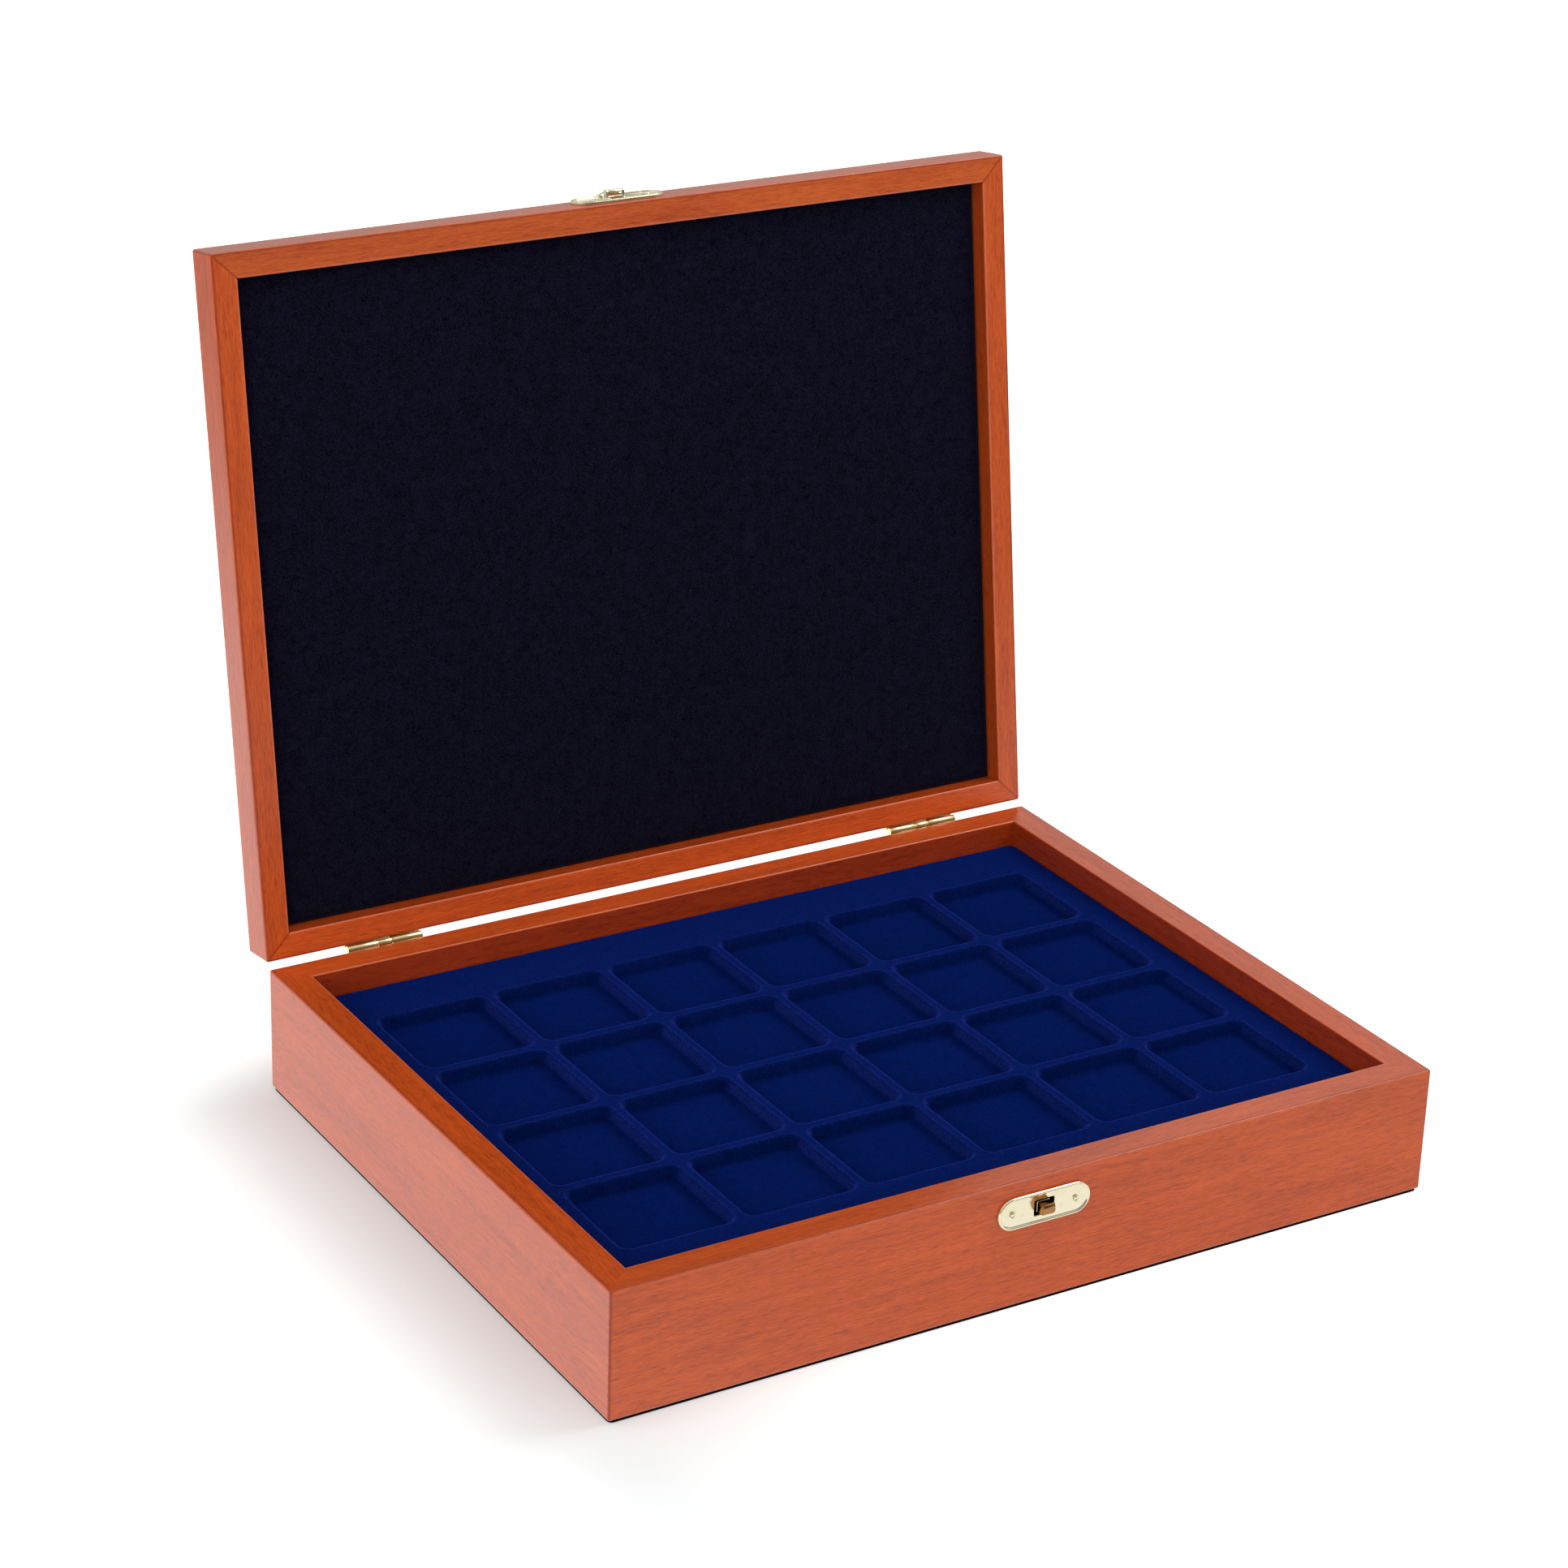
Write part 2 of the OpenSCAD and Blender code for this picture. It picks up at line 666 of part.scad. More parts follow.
base_front_wall();
base_back_wall();
base_left_wall();
base_right_wall();
base_floor();
underside_felt();
tray_bottom();
tray_middle();
tray_top();
clasp_base_plate();
clasp_nose();
clasp_base_nails();
hinge_left_base_leaf();
hinge_right_base_leaf();
hinge_left_pin();
hinge_right_pin();
hinge_base_screws();
lid_front_rail();
lid_back_rail();
lid_left_rail();
lid_right_rail();
lid_panel();
lid_liner();
clasp_lid_plate();
clasp_lid_nails();
clasp_hasp();
clasp_hasp_pin();
hinge_left_lid_leaf();
hinge_right_lid_leaf();
hinge_lid_screws();
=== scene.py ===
import json
import math

import bmesh
import bpy
from mathutils import Matrix, Vector, noise


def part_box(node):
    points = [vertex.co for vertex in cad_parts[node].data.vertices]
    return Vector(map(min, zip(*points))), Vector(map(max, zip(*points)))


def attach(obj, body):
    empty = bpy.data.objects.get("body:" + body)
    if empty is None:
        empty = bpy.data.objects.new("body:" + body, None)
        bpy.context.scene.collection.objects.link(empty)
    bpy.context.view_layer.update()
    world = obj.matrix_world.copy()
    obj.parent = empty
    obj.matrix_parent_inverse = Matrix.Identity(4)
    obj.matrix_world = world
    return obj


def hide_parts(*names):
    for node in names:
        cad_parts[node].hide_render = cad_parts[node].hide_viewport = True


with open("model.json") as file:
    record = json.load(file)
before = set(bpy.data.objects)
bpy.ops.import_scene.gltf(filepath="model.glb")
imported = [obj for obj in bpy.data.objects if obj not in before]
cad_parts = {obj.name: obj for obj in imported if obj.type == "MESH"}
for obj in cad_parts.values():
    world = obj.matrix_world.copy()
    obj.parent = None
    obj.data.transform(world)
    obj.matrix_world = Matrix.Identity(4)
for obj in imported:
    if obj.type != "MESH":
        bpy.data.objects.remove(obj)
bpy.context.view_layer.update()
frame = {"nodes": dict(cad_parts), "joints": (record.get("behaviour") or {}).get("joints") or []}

# Camera
# It stands to the left of the clasp and a little above the open case, far
# enough back for the long lens of a catalogue picture.
def in_scene(name, data):
    """A new object, linked into the scene."""
    made = bpy.data.objects.new(name, data)
    bpy.context.scene.collection.objects.link(made)
    return made


MM = 0.001
camera_turn = math.radians(-31.57)
camera_rise = math.radians(23.41)
camera_roll = math.radians(1.94)
camera_distance = 1303.4 * MM
looked_at = Vector((-25.5, 0, 134.9)) * MM

camera_data = bpy.data.cameras.new("camera")
camera_data.lens = 93.59
camera_data.sensor_fit = "HORIZONTAL"
camera_data.sensor_width = 36.0
camera_data.clip_start = 0.05
camera_data.clip_end = 60.0
camera = in_scene("camera", camera_data)
away = Vector((
    math.sin(camera_turn) * math.cos(camera_rise),
    -math.cos(camera_turn) * math.cos(camera_rise),
    math.sin(camera_rise),
))
camera.location = looked_at + camera_distance * away
camera.rotation_euler = (
    away.to_track_quat("Z", "Y").to_matrix() @ Matrix.Rotation(camera_roll, 3, "Z")
).to_euler()
bpy.context.scene.camera = camera
bpy.context.scene.view_settings.view_transform = "Standard"


# Studio
# A white sweep in a pale room, with one soft lamp high on the right. The camera
# sees plain white, apart from the case's shadow at its left and back, which a
# painted shade deepens beside the left side. In reflections the sweep and the
# room grow dimmer towards the photographer.
def add(tree, kind, inputs=(), **settings):
    """Adds a node with its settings. An input's value is a socket or a constant."""
    made = tree.nodes.new(kind)
    for name, value in settings.items():
        setattr(made, name, value)
    for key, value in dict(inputs).items():
        if isinstance(value, bpy.types.NodeSocket):
            tree.links.new(value, made.inputs[key])
        else:
            made.inputs[key].default_value = value
    return made


def reckoned(tree, operation, *values, **settings):
    """What a Math node makes of its values."""
    return add(tree, "ShaderNodeMath", enumerate(values), operation=operation,
               **settings).outputs[0]


def ranged(tree, value, low, high, to_low=0.0, to_high=1.0, **settings):
    """A value carried over from one range to another, whose ends hold beyond it."""
    return add(tree, "ShaderNodeMapRange",
               {"Value": value, "From Min": low, "From Max": high,
                "To Min": to_low, "To Max": to_high}, **settings).outputs[0]


def mixed(tree, factor, first, second, blend_type="MIX"):
    """Two colours mixed by a factor."""
    return add(tree, "ShaderNodeMix", {"Factor": factor, 6: first, 7: second},
               data_type="RGBA", blend_type=blend_type).outputs[2]


def reach(tree, place, towards):
    """How far a place lies in one direction."""
    return add(tree, "ShaderNodeVectorMath", {0: place, 1: towards},
               operation="DOT_PRODUCT").outputs["Value"]


def by_ray(tree, seen, reflected, lighting):
    """One value for camera and transmission rays, one for glossy rays and one for
    the rest, which light the object."""
    path = add(tree, "ShaderNodeLightPath").outputs
    direct = reckoned(tree, "MAXIMUM", path["Is Camera Ray"], path["Is Transmission Ray"])
    indirect = add(tree, "ShaderNodeMix",
                   {"Factor": path["Is Glossy Ray"], 2: lighting, 3: reflected}).outputs[0]
    return add(tree, "ShaderNodeMix", {"Factor": direct, 2: indirect, 3: seen}).outputs[0]


def new_material(name):
    """A material and its node tree, still empty."""
    material = bpy.data.materials.new(name)
    material.use_nodes = True
    material.node_tree.nodes.clear()
    return material, material.node_tree


WHITE = (1, 1, 1, 1)
room_light = 1.15
room_slope = (-0.65, -0.35, -0.8)
mirrored_front, mirrored_back, mirrored_foot = 0.2, 0.9, 0.45
world = bpy.data.worlds.new("white_room")
world.use_nodes = True
room_tree = world.node_tree
room_tree.nodes.clear()
sky_place = add(room_tree, "ShaderNodeTexCoord").outputs["Generated"]
direction = add(room_tree, "ShaderNodeSeparateXYZ", {0: sky_place}).outputs
room_mirrored = reckoned(
    room_tree, "MULTIPLY",
    ranged(room_tree, direction["Y"], -0.9, -0.1, mirrored_front, mirrored_back),
    ranged(room_tree, direction["Z"], 0.05, 0.35, mirrored_foot, 1.0))
room_lit = reckoned(room_tree, "ADD", reach(room_tree, sky_place, room_slope), room_light)
room = add(room_tree, "ShaderNodeBackground",
           {"Color": WHITE, "Strength": by_ray(room_tree, 1.0, room_mirrored, room_lit)})
add(room_tree, "ShaderNodeOutputWorld", {"Surface": room.outputs[0]})
bpy.context.scene.world = world

floor_half = 6.0
floor_mesh = bpy.data.meshes.new("studio_floor")
floor_mesh.from_pydata(
    [(x * floor_half, y * floor_half, 0) for x, y in ((-1, -1), (1, -1), (1, 1), (-1, 1))],
    [], [(0, 1, 2, 3)])
studio_floor = in_scene("studio_floor", floor_mesh)
sweep, sweep_tree = new_material("white_sweep")
floor_place = add(sweep_tree, "ShaderNodeTexCoord").outputs["Object"]
distance = add(sweep_tree, "ShaderNodeVectorMath", {0: floor_place},
               operation="LENGTH").outputs["Value"]
towards_front = reach(sweep_tree, floor_place, (0.75, -0.65, 0))
towards_back = reach(sweep_tree, floor_place, (0, 1, 0))
towards_left = reach(sweep_tree, floor_place, (-1, 0, 0))


def blend(place, start, end, near, far):
    """A value that changes smoothly between two places on the floor."""
    return ranged(sweep_tree, place, start, end, near, far, interpolation_type="SMOOTHSTEP")


# Painted shade: the glow that the camera sees is kept lowest in a band beside the case's left
# side and low further to its left, so the real shadow there looks darker.
painted_shade_glow, left_glow, front_glow, back_glow = 0.18, 0.46, 0.69, 0.75
glow_with_painted_shade = blend(towards_left, 0.1475, 0.195, painted_shade_glow, left_glow)
beside = blend(towards_front, -0.08, 0.1, glow_with_painted_shade, front_glow)
around = blend(towards_back, 0.105, 0.165, beside, back_glow)
seen_glow = blend(distance, 0.45, 1.1, around, 1.0)
mirrored_near = blend(towards_front, -0.08, 0.1, 1.3, 0.75)
mirrored_far = blend(towards_front, -0.5, 0.3, 0.4, 0.03)
mirrored_glow = blend(distance, 0.45, 1.1, mirrored_near, mirrored_far)
mirrored_paint = 0.3
sweep_colour = (0.755, 0.79, 0.79, 1)
albedo = by_ray(sweep_tree, 1.0, mirrored_paint, 1.0)
lit = add(sweep_tree, "ShaderNodeBsdfDiffuse",
          {"Color": mixed(sweep_tree, albedo, (0, 0, 0, 1), sweep_colour)})
glow = add(sweep_tree, "ShaderNodeEmission",
           {"Color": WHITE, "Strength": by_ray(sweep_tree, seen_glow, mirrored_glow, 0.0)})
both = add(sweep_tree, "ShaderNodeAddShader", {0: lit.outputs[0], 1: glow.outputs[0]})
add(sweep_tree, "ShaderNodeOutputMaterial", {"Surface": both.outputs[0]})
floor_mesh.materials.append(sweep)

lamp_data = bpy.data.lights.new("soft_lamp", "AREA")
lamp_data.shape = "DISK"
lamp_data.size = 0.6
lamp_data.energy = 5.0
lamp = in_scene("soft_lamp", lamp_data)
lamp_side = Vector((0.62, -0.14, 0.77)).normalized()
lamp_distance = 1.25
lamp.location = looked_at + lamp_distance * lamp_side
lamp.rotation_euler = lamp_side.to_track_quat("Z", "Y").to_euler()


# Base walls
# Four mitred hardwood walls, stained cherry red and sprayed with satin
# lacquer, which has filled the joints. Their edges are rounded over, with a
# painted highlight along each arris.
def surface(tree, inputs):
    """Ends a material's tree with a Principled surface."""
    shader = add(tree, "ShaderNodeBsdfPrincipled", inputs)
    add(tree, "ShaderNodeOutputMaterial", {"Surface": shader.outputs[0]})


def new_group(name, inputs, outputs):
    """A shader node group with named inputs, which are (name, kind, value), and outputs."""
    group = bpy.data.node_groups.new(name, "ShaderNodeTree")
    for socket_name, kind, value in inputs:
        made = group.interface.new_socket(socket_name, in_out="INPUT", socket_type=kind)
        if value is not None:
            made.default_value = value
    for socket_name, kind in outputs:
        group.interface.new_socket(socket_name, in_out="OUTPUT", socket_type=kind)
    entry = group.nodes.new("NodeGroupInput")
    exit_node = group.nodes.new("NodeGroupOutput")
    return group, entry.outputs, exit_node.inputs


def stained_grain():
    """Fine straight grain under stain, in metres, with X along the board."""
    group, given, out = new_group("stained_grain", [
        ("Vector", "NodeSocketVector", None),
        ("Stain", "NodeSocketColor", (0.5, 0.1, 0.03, 1)),
        ("Deep Stain", "NodeSocketColor", (0.3, 0.05, 0.01, 1)),
        ("Contrast", "NodeSocketFloat", 0.85),
        ("Stain And Highlight", "NodeSocketFloat", 0.0),
    ], [("Color", "NodeSocketColor"), ("Roughness", "NodeSocketFloat"),
        ("Height", "NodeSocketFloat")])

    def streaks(place, along, across, detail):
        scaled = add(group, "ShaderNodeVectorMath", {0: place, 1: (along, across, across)},
                     operation="MULTIPLY")
        return add(group, "ShaderNodeTexNoise",
                   {"Vector": scaled.outputs[0], "Scale": 1.0, "Detail": detail,
                    "Roughness": 0.6}).outputs["Fac"]

    def weighted(value, weight, rest, **settings):
        return reckoned(group, "MULTIPLY_ADD", value, weight, rest, **settings)

    sway = add(group, "ShaderNodeTexNoise", {"Vector": given["Vector"], "Scale": 14.0})
    swayed = add(group, "ShaderNodeVectorMath",
                 {0: sway.outputs["Color"], 1: (0.0, 0.004, 0.004), 2: given["Vector"]},
                 operation="MULTIPLY_ADD").outputs[0]
    figure = streaks(swayed, 9, 60, 3.0)
    band = streaks(swayed, 22, 380, 2.0)
    fleck = streaks(swayed, 190, 2300, 2.0)
    fibre = streaks(swayed, 420, 5200, 2.0)
    pore = ranged(group, fleck, 0.56, 0.68)
    fine = weighted(fleck, 1.5, weighted(fibre, 1.4, -2.5))
    coarse = weighted(figure, 0.8, weighted(band, 1.1, fine))
    depth = weighted(weighted(pore, 0.25, coarse), given["Contrast"], 0.5, use_clamp=True)
    colour = mixed(group, depth, given["Stain"], given["Deep Stain"])
    # Over 0 the colour is darkened, as by thick stain; under 0 a painted highlight is screened
    # over it.
    soaked = mixed(group, given["Stain And Highlight"], colour, thick_stain, "MULTIPLY")
    highlighted = mixed(group, ranged(group, given["Stain And Highlight"], 0.0, -1.0), soaked, painted_arris_highlight,
                   "SCREEN")
    group.links.new(highlighted, out["Color"])
    group.links.new(ranged(group, fibre, 0.3, 0.7, 0.19, 0.27), out["Roughness"])
    group.links.new(weighted(pore, -0.8, fibre), out["Height"])
    return group


thick_stain = (0.54, 0.38, 0.38, 1)
# The painted highlight's colour, screened onto the arrises.
painted_arris_highlight = (0.22, 0.06, 0.045, 1)
grain_group = stained_grain()
cherry = (0.71, 0.104, 0.0125, 1)
deep_cherry = (0.385, 0.050, 0.0085, 1)
golden_cherry = (0.62, 0.118, 0.021, 1)


def carried(tree, name, output="Fac"):
    """A value that the mesh carries at its points."""
    return add(tree, "ShaderNodeAttribute", attribute_name=name).outputs[output]


def lacquered_wood(name, place, stain=cherry, deep=deep_cherry):
    """Stained wood under satin lacquer. place(tree) gives where it is on its board.
    Boards whose board_tone is over 0 took the stain a little more golden. Where its
    stain-and-highlight value is over 0 the colour is darker: thick stain in the joints
    and corners, and a plain darkening on the inner faces and on part of each arris.
    Where it is under 0 a painted highlight lightens it, as along an arris."""
    material, tree = new_material(name)
    taken = mixed(tree, carried(tree, "board_tone"), stain, golden_cherry)
    grain = add(tree, "ShaderNodeGroup",
                {"Vector": place(tree), "Stain": taken, "Deep Stain": deep,
                 "Stain And Highlight": carried(tree, "stain_and_highlight")}, node_tree=grain_group).outputs
    relief = add(tree, "ShaderNodeBump", {"Strength": 0.25, "Distance": 0.05 * MM,
                                          "Height": grain["Height"]})
    surface(tree, {"Base Color": grain["Color"], "Roughness": grain["Roughness"],
                   "Normal": relief.outputs[0], "IOR": 1.48})
    return material


def along_the_board(tree):
    return carried(tree, "board_place", "Vector")


board_wood = lacquered_wood("cherry_board", along_the_board)


def quarter(centre, radius, start, steps=6):
    """Points of a quarter circle, anticlockwise from a start angle in degrees."""
    return [(centre[0] + radius * math.cos(math.radians(start + 90 * i / steps)),
             centre[1] + radius * math.sin(math.radians(start + 90 * i / steps)))
            for i in range(steps + 1)]


def arris(centre, radius, start, arris_marks):
    """A rounded edge's section, clockwise to a start angle, with its stain and painted highlight
    on it.
    """
    points = quarter(centre, radius, start, len(arris_marks) - 1)[::-1]
    return [(x, y, stain) for (x, y), stain in zip(points, arris_marks)]


def swept_frame(width, depth, section, corner_r, steps=6):
    """A section, as (inwards, up, stain and highlight) points, swept round a rectangle
    whose outer corners have a radius, with stain gathered on the corners."""
    bm = bmesh.new()
    stain_and_highlight = bm.verts.layers.float.new("stain_and_highlight")
    least_stain = 0.1
    loops = []
    for inwards, up, stain in section:
        radius = max(corner_r - inwards, 0)
        at_corner = math.sqrt(radius / corner_r) if radius > 0 else 0
        reach_x = width / 2 - max(inwards, corner_r)
        reach_y = depth / 2 - max(inwards, corner_r)
        loop = []
        for turn, (sx, sy) in enumerate(((1, 1), (-1, 1), (-1, -1), (1, -1))):
            arc = quarter((sx * reach_x, sy * reach_y), radius, 90 * turn, steps)
            for i, (x, y) in enumerate(arc):
                loop.append(bm.verts.new((x, y, up)))
                at_middle = at_corner * math.sin(math.pi * i / steps)
                on_corner = at_middle if at_middle > least_stain else stain
                loop[-1][stain_and_highlight] = max(stain, on_corner)
        loops.append(loop)
    count = len(loops[0])
    for i, loop in enumerate(loops):
        following = loops[(i + 1) % len(loops)]
        for j in range(count):
            k = (j + 1) % count
            bm.faces.new((loop[j], following[j], following[k], loop[k]))
    bmesh.ops.remove_doubles(bm, verts=bm.verts, dist=1e-7)
    bmesh.ops.dissolve_degenerate(bm, dist=1e-7, edges=bm.edges)
    bmesh.ops.recalc_face_normals(bm, faces=bm.faces)
    return bm


def cut_across(bm, point, normal, dist=1e-8, **settings):
    """Cuts a mesh along a plane. clear_outer=True takes off what lies past it."""
    return bmesh.ops.bisect_plane(bm, geom=bm.verts[:] + bm.edges[:] + bm.faces[:],
                                  plane_co=point, plane_no=normal, dist=dist, **settings)


def cut_side(ring, side, width, depth, joint, joint_stain):
    """One mitred side of a swept frame: 0 front, 1 right, 2 back, 3 left. Its
    ends are eased by the width of the joint line, where the stain gathered."""
    bm = ring.copy()
    bmesh.ops.rotate(bm, verts=bm.verts, cent=(0, 0, 0),
                     matrix=Matrix.Rotation(-math.pi / 2 * side, 3, "Z"))
    length, breadth = (width, depth) if side % 2 == 0 else (depth, width)
    stained, clear = 2 * joint, 3.5 * joint
    stain_and_highlight = bm.verts.layers.float["stain_and_highlight"]
    for end in (-1, 1):
        for inside in (clear, stained) if joint_stain > 0 else ():
            cut_across(bm, (end * (length / 2 - inside), -breadth / 2, 0), (end, 1, 0))
        cut = cut_across(bm, (end * length / 2, -breadth / 2, 0), (end, 1, 0),
                         clear_outer=True)
        edges = [e for e in cut["geom_cut"] if isinstance(e, bmesh.types.BMEdge)]
        cap = bmesh.ops.edgeloop_fill(bm, edges=edges)["faces"]
        rim = [v for face in cap for v in face.verts]
        bmesh.ops.inset_region(bm, faces=cap, thickness=joint)
        for vertex in rim:
            vertex.co.x -= end * joint
        for vertex in bm.verts if joint_stain > 0 else ():
            inside = length / 2 - end * vertex.co.x - (breadth / 2 + vertex.co.y)
            if inside < stained + 0.1 * joint:
                vertex[stain_and_highlight] = joint_stain
    bmesh.ops.recalc_face_normals(bm, faces=bm.faces)
    return bm


def shade(mesh, angle=40):
    """Smooth shading, apart from edges sharper than an angle in degrees."""
    mesh.shade_smooth()
    mesh.set_sharp_from_angle(angle=math.radians(angle))


def baked(made):
    """Replaces an object's mesh by what its modifiers make of it."""
    graph = bpy.context.evaluated_depsgraph_get()
    graph.update()
    mesh = bpy.data.meshes.new_from_object(made.evaluated_get(graph))
    made.modifiers.clear()
    made.data = mesh
    return made


def new_piece(name, bm, material, pose=None, angle=40):
    """A piece from a bmesh, shaded and set in its place."""
    mesh = bpy.data.meshes.new(name)
    bm.to_mesh(mesh)
    bm.free()
    if pose is not None:
        mesh.transform(pose)
    mesh.materials.append(material)
    shade(mesh, angle)
    return in_scene(name, mesh)


def stand_for(made, node_name, body):
    """The piece rides on a body and stands for a CAD node."""
    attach(made, body)
    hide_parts(node_name)
    return made


SIDES = ("front", "right", "back", "left")
next_board = Vector((0.31, 0.17, 0.0))
next_plank = Vector((0.0, 0.0, 0.07))


def frame_side(name, ring, side, width, depth, joint, joint_stain, tone, pose=None):
    """One side of a wooden frame, with its own length of board. Each has another
    place in the grain."""
    bm = cut_side(ring, side, width, depth, joint, joint_stain)
    place = bm.verts.layers.float_vector.new("board_place")
    board_tone = bm.verts.layers.float.new("board_tone")
    for vertex in bm.verts:
        vertex[place] = vertex.co + side * next_board + len(name) * next_plank
        vertex[board_tone] = tone
    bmesh.ops.rotate(bm, verts=bm.verts, cent=(0, 0, 0),
                     matrix=Matrix.Rotation(math.pi / 2 * side, 3, "Z"))
    made = new_piece(name, bm, board_wood, pose)
    weighted = made.modifiers.new("flat_faces", "WEIGHTED_NORMAL")
    weighted.keep_sharp = True
    return baked(made)


felt_low, felt_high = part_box("underside_felt")
wall_low, wall_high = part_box("base_left_wall")
case_w = 2 * -wall_low.x
case_d = 2 * -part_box("base_front_wall")[0].y
wall_t = wall_high.x - wall_low.x
wall_foot, rim = wall_low.z, wall_high.z
floor_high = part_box("base_floor")[1]
floor_rabbet = floor_high.x - (case_w / 2 - wall_t)
edge_r = 0.8 * MM
inner_edge_r = 0.5 * MM
corner_r = 0.9 * MM
halo = 0.35 * MM
filled_joint = 0.02 * MM
wall_tones = (0.2, 0.0, 0.0, 0.0)
# The walls' inner faces are darker all over.
inner_face_darkening = 0.9
# Along each arris, values under 0 paint a highlight and values over 0 darken part of it.
outer_arris_highlight_and_dark = (0, -0.8, -0.7, 0.1, 0.7, 0.8, 0.5)
inner_arris_highlight_and_dark = (-0.8, -0.9, -0.8, -0.8, -0.5, 0.3, inner_face_darkening)
foot_arris_highlight = (0, -0.2, -0.6, -0.9, -0.6, -0.2)

wall_section = (
    [(0, wall_foot + edge_r, 0), (0, rim - edge_r - halo, 0)]
    + arris((edge_r, rim - edge_r), edge_r, 90, outer_arris_highlight_and_dark)
    + [(edge_r + halo, rim, 0), (wall_t - inner_edge_r - halo, rim, 0)]
    + arris((wall_t - inner_edge_r, rim - inner_edge_r), inner_edge_r, 0, inner_arris_highlight_and_dark)
    + [(wall_t, floor_high.z, inner_face_darkening), (wall_t - floor_rabbet, floor_high.z, 0),
       (wall_t - floor_rabbet, wall_foot, 0)]
    + arris((edge_r, wall_foot + edge_r), edge_r, 180, foot_arris_highlight + (0,))[:-1]
)

base_ring = swept_frame(case_w, case_d, wall_section, corner_r)
for side, side_name in enumerate(SIDES):
    wall = frame_side(f"{side_name}_wall", base_ring, side, case_w, case_d, filled_joint,
                      0.0, wall_tones[side])
    stand_for(wall, f"base_{side_name}_wall", "base")
base_ring.free()


# Lid rails
# Four narrower rails of the same wood, mitred round the lid's panel. Here the
# joints still show as fine lines. The lid stands against its hinge stops.
lid_hinge = next(joint for joint in frame["joints"] if joint["name"] == "lid_hinge")
hinge_line = Vector(lid_hinge["pos_m"])
open_angle = math.radians(-lid_hinge["range_deg"][0])
opened = (Matrix.Translation(hinge_line) @ Matrix.Rotation(-open_angle, 4, "X")
          @ Matrix.Translation(-hinge_line))

rail_low, rail_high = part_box("lid_left_rail")
rail_t = rail_high.x - rail_low.x
lid_h = 14.8 * MM
panel_t = 4 * MM
panel_rabbet = 5 * MM
rim_gap = 2 * (hinge_line.z - rim)
lid_foot = rim + rim_gap
lid_top = lid_foot + lid_h
open_joint = 0.2 * MM
rail_tones = (0.9, 0.3, 0.0, 0.1)
rail_joint_stain = 0.6
# The rails' inner faces are a little darker.
lid_inner_face_darkening = 0.35

# The rails' arrises carry the same painted highlight as the walls'.
rail_section = (
    [(0, lid_foot + edge_r + halo, 0), (0, lid_top - edge_r - halo, 0)]
    + arris((edge_r, lid_top - edge_r), edge_r, 90, outer_arris_highlight_and_dark)
    + [(edge_r + halo, lid_top, 0), (rail_t - panel_rabbet, lid_top, 0),
       (rail_t - panel_rabbet, lid_top - panel_t, 0),
       (rail_t, lid_top - panel_t, lid_inner_face_darkening)]
    + arris((rail_t - inner_edge_r, lid_foot + inner_edge_r), inner_edge_r, 270,
            (lid_inner_face_darkening, 0, -0.6, -0.8, -0.9, -0.9, -0.8))
    + [(rail_t - inner_edge_r - halo, lid_foot, 0), (edge_r + halo, lid_foot, 0)]
    + arris((edge_r, lid_foot + edge_r), edge_r, 180, outer_arris_highlight_and_dark[::-1])
)
lid_ring = swept_frame(case_w, case_d, rail_section, corner_r)
for side, side_name in enumerate(SIDES):
    rail = frame_side(f"{side_name}_rail", lid_ring, side, case_w, case_d, open_joint,
                      rail_joint_stain, rail_tones[side], opened)
    stand_for(rail, f"lid_{side_name}_rail", "lid")
lid_ring.free()


# Floor board and lid panel
# Two thin boards in the frames' rabbets. The floor is left paler, and the
# panel is stained and lacquered with the lid.
def case_place(tree):
    return add(tree, "ShaderNodeTexCoord").outputs["Object"]


panel_wood = lacquered_wood("cherry_panel", case_place)
floor_wood = lacquered_wood("pale_floor", case_place, (0.42, 0.19, 0.08, 1),
                            (0.28, 0.11, 0.04, 1))
for board, board_finish in (("lid_panel", panel_wood), ("base_floor", floor_wood)):
    frame["nodes"][board].data.materials.clear()
    frame["nodes"][board].data.materials.append(board_finish)


# Coin trays
# Each is one sheet, vacuum-formed with square cups and then flocked royal
# blue. The nap rounds every lip. Where it is seen edge on it has a sheen, which
# is partly painted into its colour on the lips and walls.
tray_low, tray_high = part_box("tray_top")
tray_h = tray_high.z - tray_low.z
tray_w = tray_high.x - tray_low.x
tray_d = tray_high.y - tray_low.y
tray_r = 3 * MM
sheet_t = 1 * MM
columns, rows = 6, 4
pitch_x, pitch_y = 43.8 * MM, 44.2 * MM
pocket_half = 19.7 * MM
pocket_r = 3.5 * MM
pocket_depth = 5 * MM
pocket_draft = 0.7 * MM
lip_r = 1.0 * MM
lip_line = 0.6 * MM
cove_r = 0.9 * MM
skirt_r = 0.8 * MM
floor_rings = (2 * MM, 6 * MM, 11 * MM, 16 * MM)
# How much painted sheen the flat top, the lips and the walls carry.
top_painted_sheen, lip_painted_sheen, wall_painted_sheen = 0.15, 0.7, 0.7


